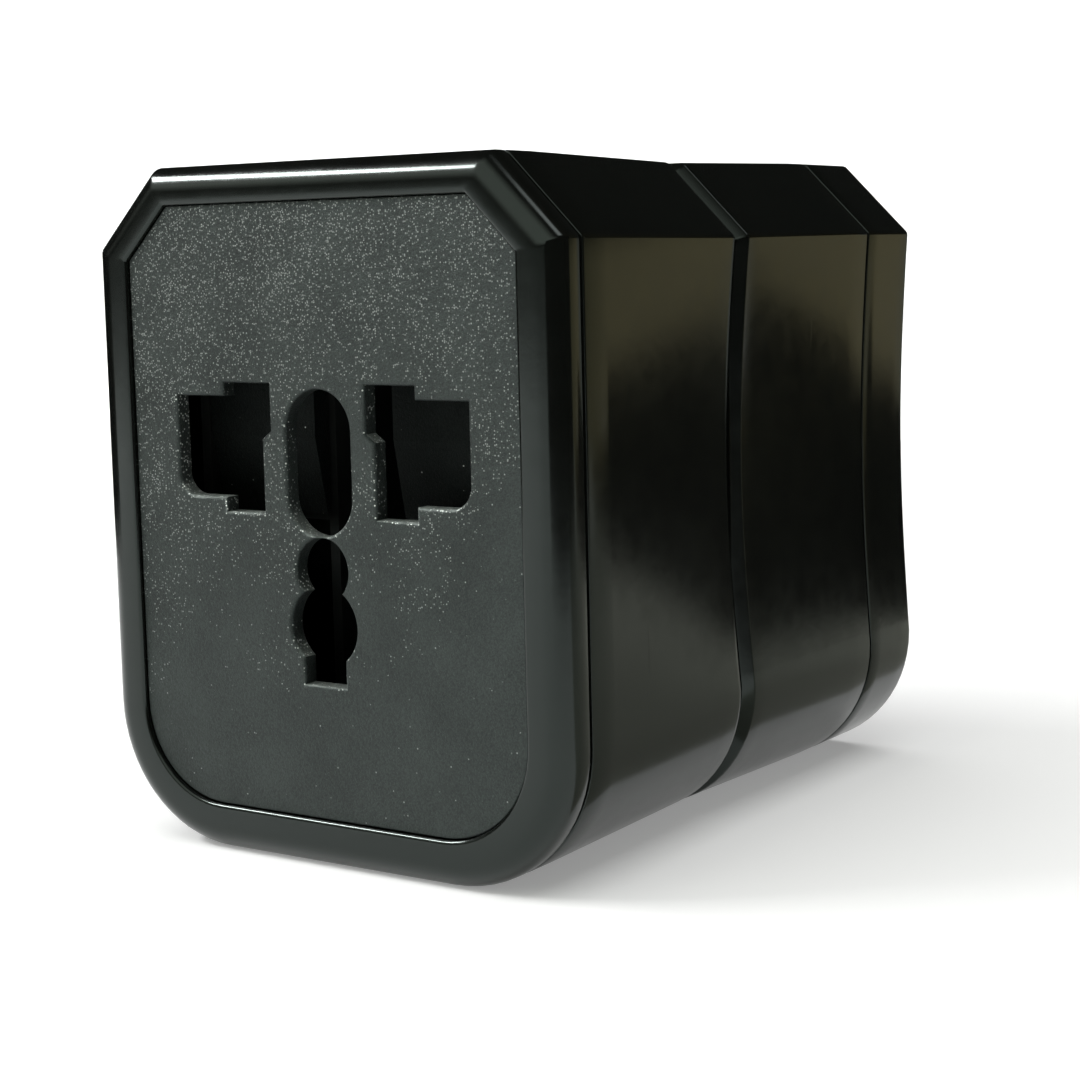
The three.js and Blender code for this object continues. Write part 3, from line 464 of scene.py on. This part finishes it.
def make_front_body():
    """The socket module's shell, closed behind by a wall with two round holes for the blade turrets."""
    rings = [inner_ring(LIP_START), inner_ring(FRONT_BODY_START)]
    rings += edge_rings(FRONT_BODY_START, 1)
    # Close rings keep the crease sharp where the finger hollow starts
    for shift in (-0.3, -0.04, 0.04, 0.3):
        rings.append(housing_ring(GRIP_START + shift * MM))
    steps = 9
    for i in range(1, steps):
        rings.append(housing_ring(GRIP_START + (LIP_START - GRIP_START) * i / steps))
    for depth, inset in rounding(LIP_START, LIP_RADIUS, 10):
        rings.append(housing_ring(depth, inset))
    body = loft("front_case", rings)
    cutters = []
    for x in BLADE_X:
        hole = circle(x, BLADE_Z, TURRET_HOLE)
        cutters.append(prism("turret_hole", hole, LIP_START - MM, FRONT_BODY_END + MM))
    carved(body, cutters + screw_cutters(FRONT_BODY_END, 1))
    softened(body, CASE_BEVEL, 60)
    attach(body, "socket_module")
    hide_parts("front_body")
    return body


UP = Vector((0, 0, 1))
SPRING_WIRE = 0.25 * MM
SPRING_TURNS = 7
SPRING_STEPS = 28


def make_spring(place):
    """A coil spring with closed end turns for the shutter, at the length of its CAD part."""
    name = f"shutter_spring_{place}"
    low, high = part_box(name)
    middle = (low + high) / 2
    radius = (high.x - low.x) / 2 - SPRING_WIRE
    end_rise = 2 * SPRING_WIRE
    free = high.z - low.z - 2 * SPRING_WIRE - 2 * end_rise
    rings = []
    for i in range(SPRING_TURNS * SPRING_STEPS + 1):
        turn = i / SPRING_STEPS
        angle = 2 * math.pi * turn
        along = min(max((turn - 1) / (SPRING_TURNS - 2), 0), 1)
        ends = min(turn, 1) + max(turn - SPRING_TURNS + 1, 0)
        height = low.z + SPRING_WIRE + free * along + end_rise * ends
        out = Vector((math.cos(angle), math.sin(angle), 0))
        centre = Vector((middle.x, middle.y, height)) + out * radius
        section = []
        for k in range(10):
            around = math.pi / 5 * k
            section.append(centre + (out * math.cos(around) + UP * math.sin(around)) * SPRING_WIRE)
        rings.append(section)
    spring = loft(f"coil_{place}", rings)
    smooth(spring, 60)
    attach(spring, "socket_module")
    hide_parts(name)
    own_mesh(spring)
    return spring


# ---- the plug module -------------------------------------------------------------------------

COVER_FLOOR = REAR - 1.7 * MM
TRACK_HALF = 4 * MM
TRACK_END_ROOM = 0.6 * MM
SLOT_HALF = 1.6 * MM
SLOT_END_ROOM = 0.4 * MM
ROD_SEAT = 1.1 * MM
LEDGE_LENGTH = 1.2 * MM
LEDGE_HEIGHT = 1.4 * MM
CREASE_ROOM = (0.6 * MM, 0.5 * MM)

# Depth and inset, in millimetres, of the rear module's chamfered front edge
JOINT_CHAMFER = ((0, 1.25), (0.08, 1), (0.9, 0.12), (1.15, 0))

# British pins 6.35 x 4 mm on 22.2 mm, Europlug pins of 4 mm on 19 mm
UK_PITCH, UK_PIN_WIDTH, UK_PIN_HEIGHT = 22.2 * MM, 6.35 * MM, 4 * MM
UK_PIN_DROP = 3.4 * MM
EU_PITCH, EU_PIN_RADIUS = 19 * MM, 2 * MM


def slider_cutters():
    """The flat finger tracks on the left side, and the slots through the wall that the arms run in."""
    cutters = []
    for name in ("uk", "eu"):
        low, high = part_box(f"{name}_slider")
        middle = (low.z + high.z) / 2
        outside = -HALF_WIDTH - MM
        track = rectangle(outside, high.x + FIT_GAP, middle - TRACK_HALF, middle + TRACK_HALF)
        cutters.append(prism("track", track, low.y - TRACK_END_ROOM, REAR - TRACK_END_ROOM))
        slot = rectangle(outside, WALL - HALF_WIDTH + MM, middle - SLOT_HALF, middle + SLOT_HALF)
        slot_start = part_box(f"{name}_carriage")[0].y - SLOT_END_ROOM
        cutters.append(prism("slot", slot, slot_start, COVER_FLOOR + 0.1 * MM))
    return cutters


def make_rear_body():
    """The plug module's shell: a tube open at both ends, with a ledge inside for the well plate."""
    end = COVER_START - SEAM
    ledge_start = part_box("guide_rod_lower")[0].y + ROD_SEAT + FIT_GAP
    ledge_end = ledge_start + LEDGE_LENGTH
    rings = [housing_ring(REAR_BODY_START + depth * MM, inset * MM) for depth, inset in JOINT_CHAMFER]
    first = REAR_BODY_START + JOINT_CHAMFER[-1][0] * MM
    last = GRIP_REAR_END - CREASE_ROOM[0]
    steps = 10
    for i in range(1, steps + 1):
        rings.append(housing_ring(first + (last - first) * i / steps))
    rings.append(housing_ring(GRIP_REAR_END + CREASE_ROOM[1]))
    rings += reversed(edge_rings(end, -1))
    rings.append(inner_ring(end))
    rings.append(inner_ring(ledge_end))
    rings.append(inner_ring(ledge_end, WALL + LEDGE_HEIGHT))
    rings.append(inner_ring(ledge_start, WALL + LEDGE_HEIGHT))
    rings.append(inner_ring(ledge_start))
    rings.append(inner_ring(REAR_BODY_START))
    body = loft("rear_case", rings, closed=True)
    carved(body, slider_cutters())
    softened(body, CASE_BEVEL, 60)
    weighted(body, 60)
    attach(body, "plug_module")
    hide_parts("rear_body")
    return body


def pin_sections(gap):
    """Outlines in (x, z) of the five plug pins, each grown by gap."""
    shapes = []
    half_width, half_height = UK_PIN_WIDTH / 2 + gap, UK_PIN_HEIGHT / 2 + gap
    uk_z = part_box("uk_carriage")[1].z - UK_PIN_DROP
    for side in ("left", "right"):
        low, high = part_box(f"uk_pin_{side}")
        x = math.copysign(UK_PITCH / 2, high.x + low.x)
        shapes.append(rectangle(x - half_width, x + half_width, uk_z - half_height, uk_z + half_height))
        low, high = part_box(f"eu_pin_{side}")
        x = math.copysign(EU_PITCH / 2, x)
        shapes.append(circle(x, (low.z + high.z) / 2, EU_PIN_RADIUS + gap, 40))
    low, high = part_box("uk_earth_pin")
    shapes.append(rectangle(low.x - gap, high.x + gap, low.z - gap, high.z + gap))
    return shapes


def make_rear_cover():
    """The cap with the five pin holes, the ends of the finger tracks and four screws."""
    start, round_start = COVER_START, REAR - COVER_ROUND
    rings = [inner_ring(COVER_FLOOR), inner_ring(start)]
    rings += edge_rings(start, 1)
    for i in range(1, 4):
        rings.append(housing_ring(start + (round_start - start) * i / 4))
    for depth, inset in rounding(round_start, COVER_ROUND, 8):
        rings.append(housing_ring(depth, inset))
    cover = loft("rear_cap", rings)
    cutters = [prism("pin_hole", s, COVER_FLOOR - MM, REAR + MM) for s in pin_sections(FIT_GAP)]
    carved(cover, cutters + slider_cutters() + screw_cutters(REAR, 1))
    softened(cover, CASE_BEVEL, 60)
    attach(cover, "plug_module")
    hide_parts("rear_cover")
    return cover


# ---- materials -------------------------------------------------------------------------------


class Nodes:
    """A material's node tree, with short calls to add and join nodes."""

    def __init__(self, name):
        self.material = bpy.data.materials.new(name)
        self.material.use_nodes = True
        self.tree = self.material.node_tree
        self.shader = self.tree.nodes["Principled BSDF"]
        self.place = self.tree.nodes.new("ShaderNodeTexCoord").outputs["Object"]

    @classmethod
    def over(cls, tree, place):
        """The same calls on a tree that already exists."""
        nodes = cls.__new__(cls)
        nodes.tree = tree
        nodes.place = tree.nodes.new("ShaderNodeTexCoord").outputs[place]
        return nodes

    def add(self, kind, settings=None, **inputs):
        """A new node. settings are its own options; an input's name has _ for each space."""
        node = self.tree.nodes.new(kind)
        for key, value in (settings or {}).items():
            setattr(node, key, value)
        for key, value in inputs.items():
            self.feed(node.inputs[key.replace("_", " ")], value)
        return node

    def feed(self, socket, value):
        """Joins another node's output to a socket, or sets its plain value."""
        if isinstance(value, bpy.types.NodeSocket):
            self.tree.links.new(value, socket)
        else:
            socket.default_value = value

    def noise(self, scale, detail=4.0, roughness=0.55):
        settings = {"Scale": scale, "Detail": detail, "Roughness": roughness}
        return self.add("ShaderNodeTexNoise", Vector=self.place, **settings).outputs["Fac"]

    def cells(self, scale):
        """Small cells, each with its own colour, and the distance to its middle."""
        return self.add("ShaderNodeTexVoronoi", Vector=self.place, Scale=scale)

    def stretched(self, scale, rotation=(0, 0, 0)):
        """The place on the object, scaled unevenly so that a noise on it runs in one direction."""
        node = self.add("ShaderNodeMapping", Vector=self.place)
        node.inputs["Scale"].default_value = scale
        node.inputs["Rotation"].default_value = rotation
        return node.outputs["Vector"]

    def up(self):
        """How far a surface looks up, from -1 to 1."""
        normal = self.add("ShaderNodeNewGeometry").outputs["Normal"]
        return self.add("ShaderNodeSeparateXYZ", Vector=normal).outputs["Z"]

    def ramp(self, value, *stops):
        """A colour from a value. Each stop is a position and a colour."""
        node = self.add("ShaderNodeValToRGB", Fac=value)
        ramp = node.color_ramp
        while len(ramp.elements) < len(stops):
            ramp.elements.new(0.5)
        for element, (position, color) in zip(ramp.elements, stops):
            element.position = position
            element.color = color if len(color) == 4 else (*color, 1)
        return node.outputs["Color"]

    def blend(self, factor, one, two):
        """A colour between two colours."""
        node = self.add("ShaderNodeMix", {"data_type": "RGBA"})
        for socket, value in (("Factor", factor), ("A", one), ("B", two)):
            self.feed(node.inputs[socket], value)
        return node.outputs["Result"]

    def span(self, value, low, high, to_low, to_high):
        """A value moved from the range low to high into another range, and held inside it."""
        node = self.add("ShaderNodeMapRange", Value=value)
        node.inputs["From Min"].default_value = low
        node.inputs["From Max"].default_value = high
        node.inputs["To Min"].default_value = to_low
        node.inputs["To Max"].default_value = to_high
        return node.outputs["Result"]

    def math(self, operation, one, two):
        node = self.add("ShaderNodeMath", {"operation": operation})
        self.feed(node.inputs[0], one)
        self.feed(node.inputs[1], two)
        return node.outputs[0]

    def bump(self, height, strength, distance):
        node = self.add("ShaderNodeBump", Height=height, Strength=strength, Distance=distance)
        return node.outputs["Normal"]

    def set(self, **inputs):
        """Joins or sets inputs of the main shader."""
        for key, value in inputs.items():
            self.feed(self.shader.inputs[key.replace("_", " ")], value)


PLASTIC_TINT = (0.86, 1.0, 0.95, 1)


def gloss_black():
    """Polished moulded plastic: near-black, with a faint orange peel and hairline scratches."""
    n = Nodes("gloss_black")
    color = n.ramp(n.noise(35), (0.3, (0.0028, 0.0032, 0.0026)), (0.75, (0.0045, 0.0050, 0.0040)))
    slanted = n.stretched((1, 1, 0.04), (0.3, 0.2, 0.1))
    hair = n.add("ShaderNodeTexNoise", Scale=1500, Detail=1.0, Vector=slanted).outputs["Fac"]
    scratch = n.span(hair, 0.75, 0.80, 0, 0.06)
    worn = n.span(n.noise(60, 6), 0.25, 0.75, 0.13, 0.19)
    rough = n.math("ADD", scratch, n.math("ADD", worn, n.span(n.noise(420, 4), 0.3, 0.7, -0.02, 0.03)))
    peel = n.bump(n.noise(900, 2), 0.10, 0.00004)
    n.set(Base_Color=color, Roughness=rough, Normal=peel, IOR=1.46, Specular_Tint=PLASTIC_TINT)
    return n.material


def textured_black(name="textured_black", top_share=0.5, level=0.46, shade=1.0):
    """A moulding eroded by sparks: fine sharp grain, painted glints on some grains, and painted light on
    faces that look up.

    top_share is the share of grains that may carry a painted glint at the top left, where the light falls,
    level is the strength of the reflections, and shade darkens the base as painted shade, for the copy that
    sits in shadow.
    """
    n = Nodes(name)
    grain = n.noise(6500, 2, 0.7)
    coarse = n.noise(2400, 2, 0.5)
    up = n.up()

    # Painted glints: grains that glint thin out from the top left, where the light falls, to the bottom
    # right, in uneven clouds, and are more on faces that look up
    cells = n.cells(4800)
    pick = n.add("ShaderNodeSeparateColor", Color=cells.outputs["Color"])
    split = n.add("ShaderNodeSeparateXYZ", Vector=n.place)
    across = n.span(split.outputs["X"], -HALF_WIDTH, HALF_WIDTH, 0.014, -0.008)
    facing = n.math("ADD", across, n.math("MULTIPLY", up, 0.06))
    clouds = n.span(n.noise(170, 6, 0.75), 0.3, 0.7, -0.026, 0.026)
    lean = n.math("ADD", split.outputs["Z"], n.math("ADD", facing, clouds))
    share = n.span(lean, 0.030, 0.066, 0.004, top_share)
    chosen = n.math("LESS_THAN", pick.outputs["Red"], share)
    dot = n.span(cells.outputs["Distance"], 0.2, 0.55, 1, 0)
    glint = n.math("POWER", pick.outputs["Green"], 2.0)
    painted_glint = n.math("MULTIPLY", n.math("MULTIPLY", dot, chosen), glint)

    grit = n.math("ADD", n.noise(140, 5), n.span(grain, 0.3, 0.7, -0.4, 0.4))
    dark = [shade * part for part in (0.006, 0.0075, 0.0070)]
    light = [shade * part for part in (0.027, 0.0330, 0.0305)]
    base = n.ramp(grit, (0.15, dark), (0.85, light))
    # Painted top light: faces that look up are made lighter grey in uneven patches, standing for the light
    # that falls on them from above
    painted_top_light = n.math("MULTIPLY", n.span(up, 0.3, 0.9, 0, 1), n.span(n.noise(900, 3), 0.3, 0.7, 0.15, 0.5))
    top_lit_base = n.blend(painted_top_light, base, (0.30, 0.34, 0.31, 1))
    # The painted glints turn their grains near-white and, below, metallic
    color = n.blend(painted_glint, top_lit_base, (0.90, 0.96, 0.90, 1))
    rough = n.span(painted_glint, 0, 1, 0.41, 0.55)
    height = n.math("ADD", n.math("MULTIPLY", grain, 0.7), n.math("MULTIPLY", coarse, 0.5))
    normal = n.bump(height, 0.9, 0.00012)
    n.set(Base_Color=color, Roughness=rough, Normal=normal, IOR=1.46)
    n.set(Metallic=n.math("MULTIPLY", painted_glint, 0.9), Specular_IOR_Level=level, Specular_Tint=PLASTIC_TINT)
    return n.material


def matte_black():
    """Plain moulded black with a light grain."""
    n = Nodes("matte_black")
    color = n.ramp(n.noise(90, 5), (0.3, (0.006, 0.0065, 0.006)), (0.75, (0.011, 0.012, 0.011)))
    rough = n.span(n.noise(260, 5), 0.3, 0.7, 0.42, 0.56)
    normal = n.bump(n.noise(2600, 3, 0.6), 0.35, 0.00006)
    n.set(Base_Color=color, Roughness=rough, Normal=normal, IOR=1.46, Specular_Tint=PLASTIC_TINT)
    return n.material


def metal(name, dark, light, low, high):
    """Worked metal with drawing marks along its length and dulled patches."""
    n = Nodes(name)
    color = n.ramp(n.noise(120, 6), (0.25, dark), (0.75, light))
    drawn = n.stretched((1, 0.05, 1))
    marks = n.add("ShaderNodeTexNoise", Scale=1800, Detail=3.0, Vector=drawn).outputs["Fac"]
    dulled = n.span(n.noise(70, 5), 0.3, 0.7, -0.04, 0.06)
    rough = n.math("ADD", n.span(marks, 0.3, 0.7, low, high), dulled)
    normal = n.bump(marks, 0.15, 0.00003)
    n.set(Base_Color=color, Roughness=rough, Normal=normal, Metallic=1.0)
    return n.material


def ceramic():
    """Off-white fired tube, slightly uneven."""
    n = Nodes("ceramic")
    color = n.ramp(n.noise(200, 5), (0.3, (0.72, 0.70, 0.64)), (0.75, (0.84, 0.82, 0.77)))
    rough = n.span(n.noise(500, 4), 0.3, 0.7, 0.35, 0.5)
    n.set(Base_Color=color, Roughness=rough, Normal=n.bump(n.noise(3000, 2), 0.2, 0.00004))
    return n.material


def paint(obj, material):
    """Gives an object this one material."""
    obj.data.materials.clear()
    obj.data.materials.append(material)


def dress_nodes(looks):
    """Gives every CAD node that stays on show its finish, and softens its edges."""
    slots = {row["node"]: row["material_slot"] for row in frame["record"]["subparts"]}
    for name, slot in slots.items():
        node = frame["nodes"][name]
        paint(node, looks[slot])
        if not node.hide_render:
            softened(node, NODE_BEVEL, 50)


# ---- stage, light and camera -----------------------------------------------------------------

# The floor reaches FAR to every side; the part from NEAR_LOW to NEAR_HIGH is the one that mirrors
FAR = 4.0
NEAR_LOW, NEAR_HIGH = Vector((-0.8, -0.95)), Vector((0.34, 0.42))
WALL_DISTANCE = 1.6
WALL_CURVE = 0.5
WALL_CURVE_STEPS = 12
WALL_TOP = 3.0
WALL_SIDES = 64

# Cards stand just clear of the floor: (x, height) along the back one, (x, y) along the right one
BACK_Y = 0.155
BACK_TOP = [(-0.5, 0.07), (-0.06, 0.07), (-0.055, 0.027), (0.06, 0.030), (0.09, 0.035)]
BACK_TOP += [(0.115, 0.040), (0.135, 0.037), (0.145, 0.026), (0.2, 0.019), (0.27, 0.011)]
RIGHT_PATH = ((0.10, -0.30), (0.25, 0.0), (0.27, 0.12))
RIGHT_TOP = 0.2
LEFT_X, LEFT_START, LEFT_TOP = -0.25, -0.2, 0.09
LOW_CARD_X, LOW_CARD_START = (0.033, 0.25), -0.03

FILL_HEIGHT, FILL_SIZE, FILL_WATTS = 2.2, 3, 46
KEY_PLACE, KEY_WIDTH, KEY_HEIGHT, KEY_WATTS = (-0.75, -0.42, 0.74), 0.6, 0.13, 7
GLINT_PLACE, GLINT_WATTS = (-0.75, -0.42, 0.75), 8
EDGE_PLACE, EDGE_SIZE, EDGE_WATTS = (0.38, 0.02, 0.8), 0.2, 0.35

CAMERA_AZIMUTH = 33.57
CAMERA_ELEVATION = 6.51
CAMERA_ROLL = -1.3
CAMERA_DISTANCE = 0.2231
CAMERA_TARGET = Vector((0.01323, FRONT + 0.025, 0.03495))
SENSOR = 36
LENS = 71.6
SHIFT = (-0.028, -0.037)


def paper(name, glow):
    """Plain pale paper, kept from going grey by a faint glow."""
    n = Nodes(name)
    color = n.ramp(n.noise(6, 4), (0.3, (0.87, 0.87, 0.87)), (0.8, (0.90, 0.90, 0.90)))
    n.set(Base_Color=color, Roughness=n.span(n.noise(40, 4), 0.3, 0.7, 0.75, 0.85))
    n.set(Emission_Color=(1, 1, 1, 1), Emission_Strength=glow)
    return n.material


def staged(name, points, faces, material):
    """A piece of the set from points and faces."""
    bm = bmesh.new()
    verts = [bm.verts.new(point) for point in points]
    for face in faces:
        bm.faces.new([verts[i] for i in face])
    piece = mesh_object(name, bm)
    piece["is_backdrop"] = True
    paint(piece, material)
    return piece


def make_floor():
    """One pale floor in two parts: glossy surfaces only mirror the part near the object."""
    xs = (-FAR, NEAR_LOW.x, NEAR_HIGH.x, FAR)
    ys = (-FAR, NEAR_LOW.y, NEAR_HIGH.y, FAR)
    points = [(x, y, 0) for y in ys for x in xs]
    cells = [(i, i + 1, i + 5, i + 4) for i in (0, 1, 2, 4, 5, 6, 8, 9, 10)]
    staged("floor_near", points, [cells[4]], paper("near_paper", 0.26))
    far = staged("floor_far", points, cells[:4] + cells[5:], paper("far_paper", 0.75))
    far.visible_glossy = False


def make_wall():
    """A pale wall all round, bending up from the floor. It neither shows in nor lights the object."""
    profile = []
    for i in range(WALL_CURVE_STEPS + 1):
        angle = math.pi / 2 * i / WALL_CURVE_STEPS
        out = WALL_DISTANCE + WALL_CURVE * math.sin(angle)
        profile.append((out, MM + WALL_CURVE * (1 - math.cos(angle))))
    profile.append((WALL_DISTANCE + WALL_CURVE, WALL_TOP))
    rows = len(profile)
    points = []
    for i in range(WALL_SIDES):
        turn = 2 * math.pi * i / WALL_SIDES
        points += [(r * math.cos(turn), r * math.sin(turn), z) for r, z in profile]
    faces = []
    for i in range(WALL_SIDES):
        here, there = i * rows, (i + 1) % WALL_SIDES * rows
        faces += [(here + k, there + k, there + k + 1, here + k + 1) for k in range(rows - 1)]
    wall = staged("wall", points, faces, paper("wall_paper", 0.6))
    wall.visible_glossy = wall.visible_diffuse = False


def make_cards():
    """Black and grey cards round the object that only its glossy surfaces mirror."""
    count = len(BACK_TOP)
    points = [(x, BACK_Y, MM) for x, z in BACK_TOP] + [(x, BACK_Y, z) for x, z in BACK_TOP]
    faces = [(i, i + 1, count + i + 1, count + i) for i in range(count - 1)]
    black = cloth("black_card", 0.006, 0.010)
    cards = [staged("card_back", points, faces, black)]
    points = [(x, y, z) for z in (MM, RIGHT_TOP) for x, y in RIGHT_PATH]
    cards.append(staged("card_right", points, [(0, 1, 4, 3), (1, 2, 5, 4)], black))
    corners = [(LEFT_START, MM), (BACK_Y, MM), (BACK_Y, LEFT_TOP), (LEFT_START, LEFT_TOP)]
    cards.append(staged("card_left", [(LEFT_X, y, z) for y, z in corners], [(0, 1, 2, 3)], black))
    x0, x1 = LOW_CARD_X
    corners = [(x0, LOW_CARD_START), (x1, LOW_CARD_START), (x1, BACK_Y), (x0, BACK_Y)]
    grey = cloth("grey_card", 0.50, 0.57)
    cards.append(staged("card_low", [(x, y, MM) for x, y in corners], [(0, 1, 2, 3)], grey))
    for card in cards:
        card.visible_camera = card.visible_diffuse = card.visible_shadow = False


def cloth(name, dark, light):
    """Dull card, slightly warm, between two shades."""
    n = Nodes(name)
    color = n.ramp(n.noise(60, 4), (0.3, (dark, dark, dark * 0.88)), (0.8, (light, light, light * 0.88)))
    n.set(Base_Color=color, Roughness=n.span(n.noise(90, 4), 0.3, 0.7, 0.8, 0.9), Specular_IOR_Level=0.1)
    return n.material


def make_sky():
    """A dim room: warm low down to the right behind, pale high up in front, dark elsewhere."""
    world = bpy.data.worlds.new("studio")
    bpy.context.scene.world = world
    world.use_nodes = True
    n = Nodes.over(world.node_tree, "Generated")
    split = n.add("ShaderNodeSeparateXYZ", Vector=n.place)
    beside = n.span(split.outputs["X"], 0.25, 0.42, 0, 1)
    behind = n.span(split.outputs["Y"], 0.1, 0.4, 0, 1)
    ahead = n.span(split.outputs["Y"], -0.25, -0.6, 0, 1)
    high = n.span(split.outputs["Z"], 0.025, 0.075, 0, 1)
    dim = n.blend(high, (0.20, 0.22, 0.20, 1), (0.015, 0.0165, 0.015, 1))
    warm = n.blend(high, (0.50, 0.43, 0.24, 1), (0.037, 0.032, 0.018, 1))
    back = n.blend(n.math("MULTIPLY", beside, behind), dim, warm)
    lifted = n.span(split.outputs["Z"], 0.1, 0.35, 0, 1)
    color = n.blend(n.math("MULTIPLY", ahead, lifted), back, (1.05, 1.10, 1.00, 1))
    n.feed(world.node_tree.nodes["Background"].inputs["Color"], color)


def add_softbox(name, place, target, width, height, watts, glossy=True, diffuse=True):
    """A rectangular lamp that faces a target. glossy and diffuse say which light it gives."""
    data = bpy.data.lights.new(name, "AREA")
    data.shape = "RECTANGLE"
    data.size = width
    data.size_y = height
    data.energy = watts
    light = bpy.data.objects.new(name, data)
    light.location = place
    light.rotation_euler = (Vector(target) - Vector(place)).to_track_quat("-Z", "Y").to_euler()
    light.visible_glossy = glossy
    light.visible_diffuse = diffuse
    light.visible_camera = False
    bpy.context.scene.collection.objects.link(light)


def add_camera():
    """The camera, placed by angles and distance from its target."""
    az, el = math.radians(CAMERA_AZIMUTH), math.radians(CAMERA_ELEVATION)
    back = Vector((math.sin(az) * math.cos(el), -math.cos(az) * math.cos(el), math.sin(el)))
    data = bpy.data.cameras.new("camera")
    data.lens = LENS
    data.sensor_width = SENSOR
    data.shift_x, data.shift_y = SHIFT
    data.clip_start = 0.01
    camera = bpy.data.objects.new("camera", data)
    facing = (-back).to_track_quat("-Z", "Y").to_matrix().to_4x4()
    roll = Matrix.Rotation(math.radians(CAMERA_ROLL), 4, "Z")
    camera.matrix_world = Matrix.Translation(CAMERA_TARGET + back * CAMERA_DISTANCE) @ facing @ roll
    bpy.context.scene.collection.objects.link(camera)
    bpy.context.scene.camera = camera


# ---- the whole scene -------------------------------------------------------------------------

looks = {
    "gloss_black": gloss_black(),
    "textured_black": textured_black(),
    "matte_black": matte_black(),
    "brass": metal("brass", (0.60, 0.42, 0.18), (0.78, 0.60, 0.30), 0.18, 0.34),
    "nickel": metal("nickel", (0.56, 0.54, 0.49), (0.70, 0.68, 0.63), 0.14, 0.28),
    "steel": metal("steel", (0.40, 0.41, 0.42), (0.56, 0.57, 0.58), 0.22, 0.40),
    "ceramic": ceramic(),
}

for make in (make_bezel, make_front_body, make_rear_body, make_rear_cover):
    paint(make(), looks["gloss_black"])
paint(make_face(), looks["textured_black"])
for side in ("left", "right"):
    paint(make_spring(side), looks["steel"])
dress_nodes(looks)
# The shutter sits deep behind the openings: its copy of the textured black has a darker base as painted
# shade and almost no painted glints
shaded_shutter_look = textured_black("shutter_black_painted_shade", top_share=0.004, level=0.1, shade=0.3)
paint(frame["nodes"]["shutter"], shaded_shutter_look)

make_floor()
make_wall()
make_cards()
make_sky()
centre, high_centre = (0, 0, 0.03), (0, 0, 0.05)
add_softbox("fill", (0, 0, FILL_HEIGHT), (0, 0, 0), FILL_SIZE, FILL_SIZE, FILL_WATTS, glossy=False)
add_softbox("key", KEY_PLACE, centre, KEY_WIDTH, KEY_HEIGHT, KEY_WATTS)
add_softbox("glint", GLINT_PLACE, centre, KEY_WIDTH, KEY_HEIGHT, GLINT_WATTS, diffuse=False)
add_softbox("edge_light", EDGE_PLACE, high_centre, EDGE_SIZE, EDGE_SIZE, EDGE_WATTS, diffuse=False)
bpy.context.scene.view_settings.view_transform = "Standard"
add_camera()

low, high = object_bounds()
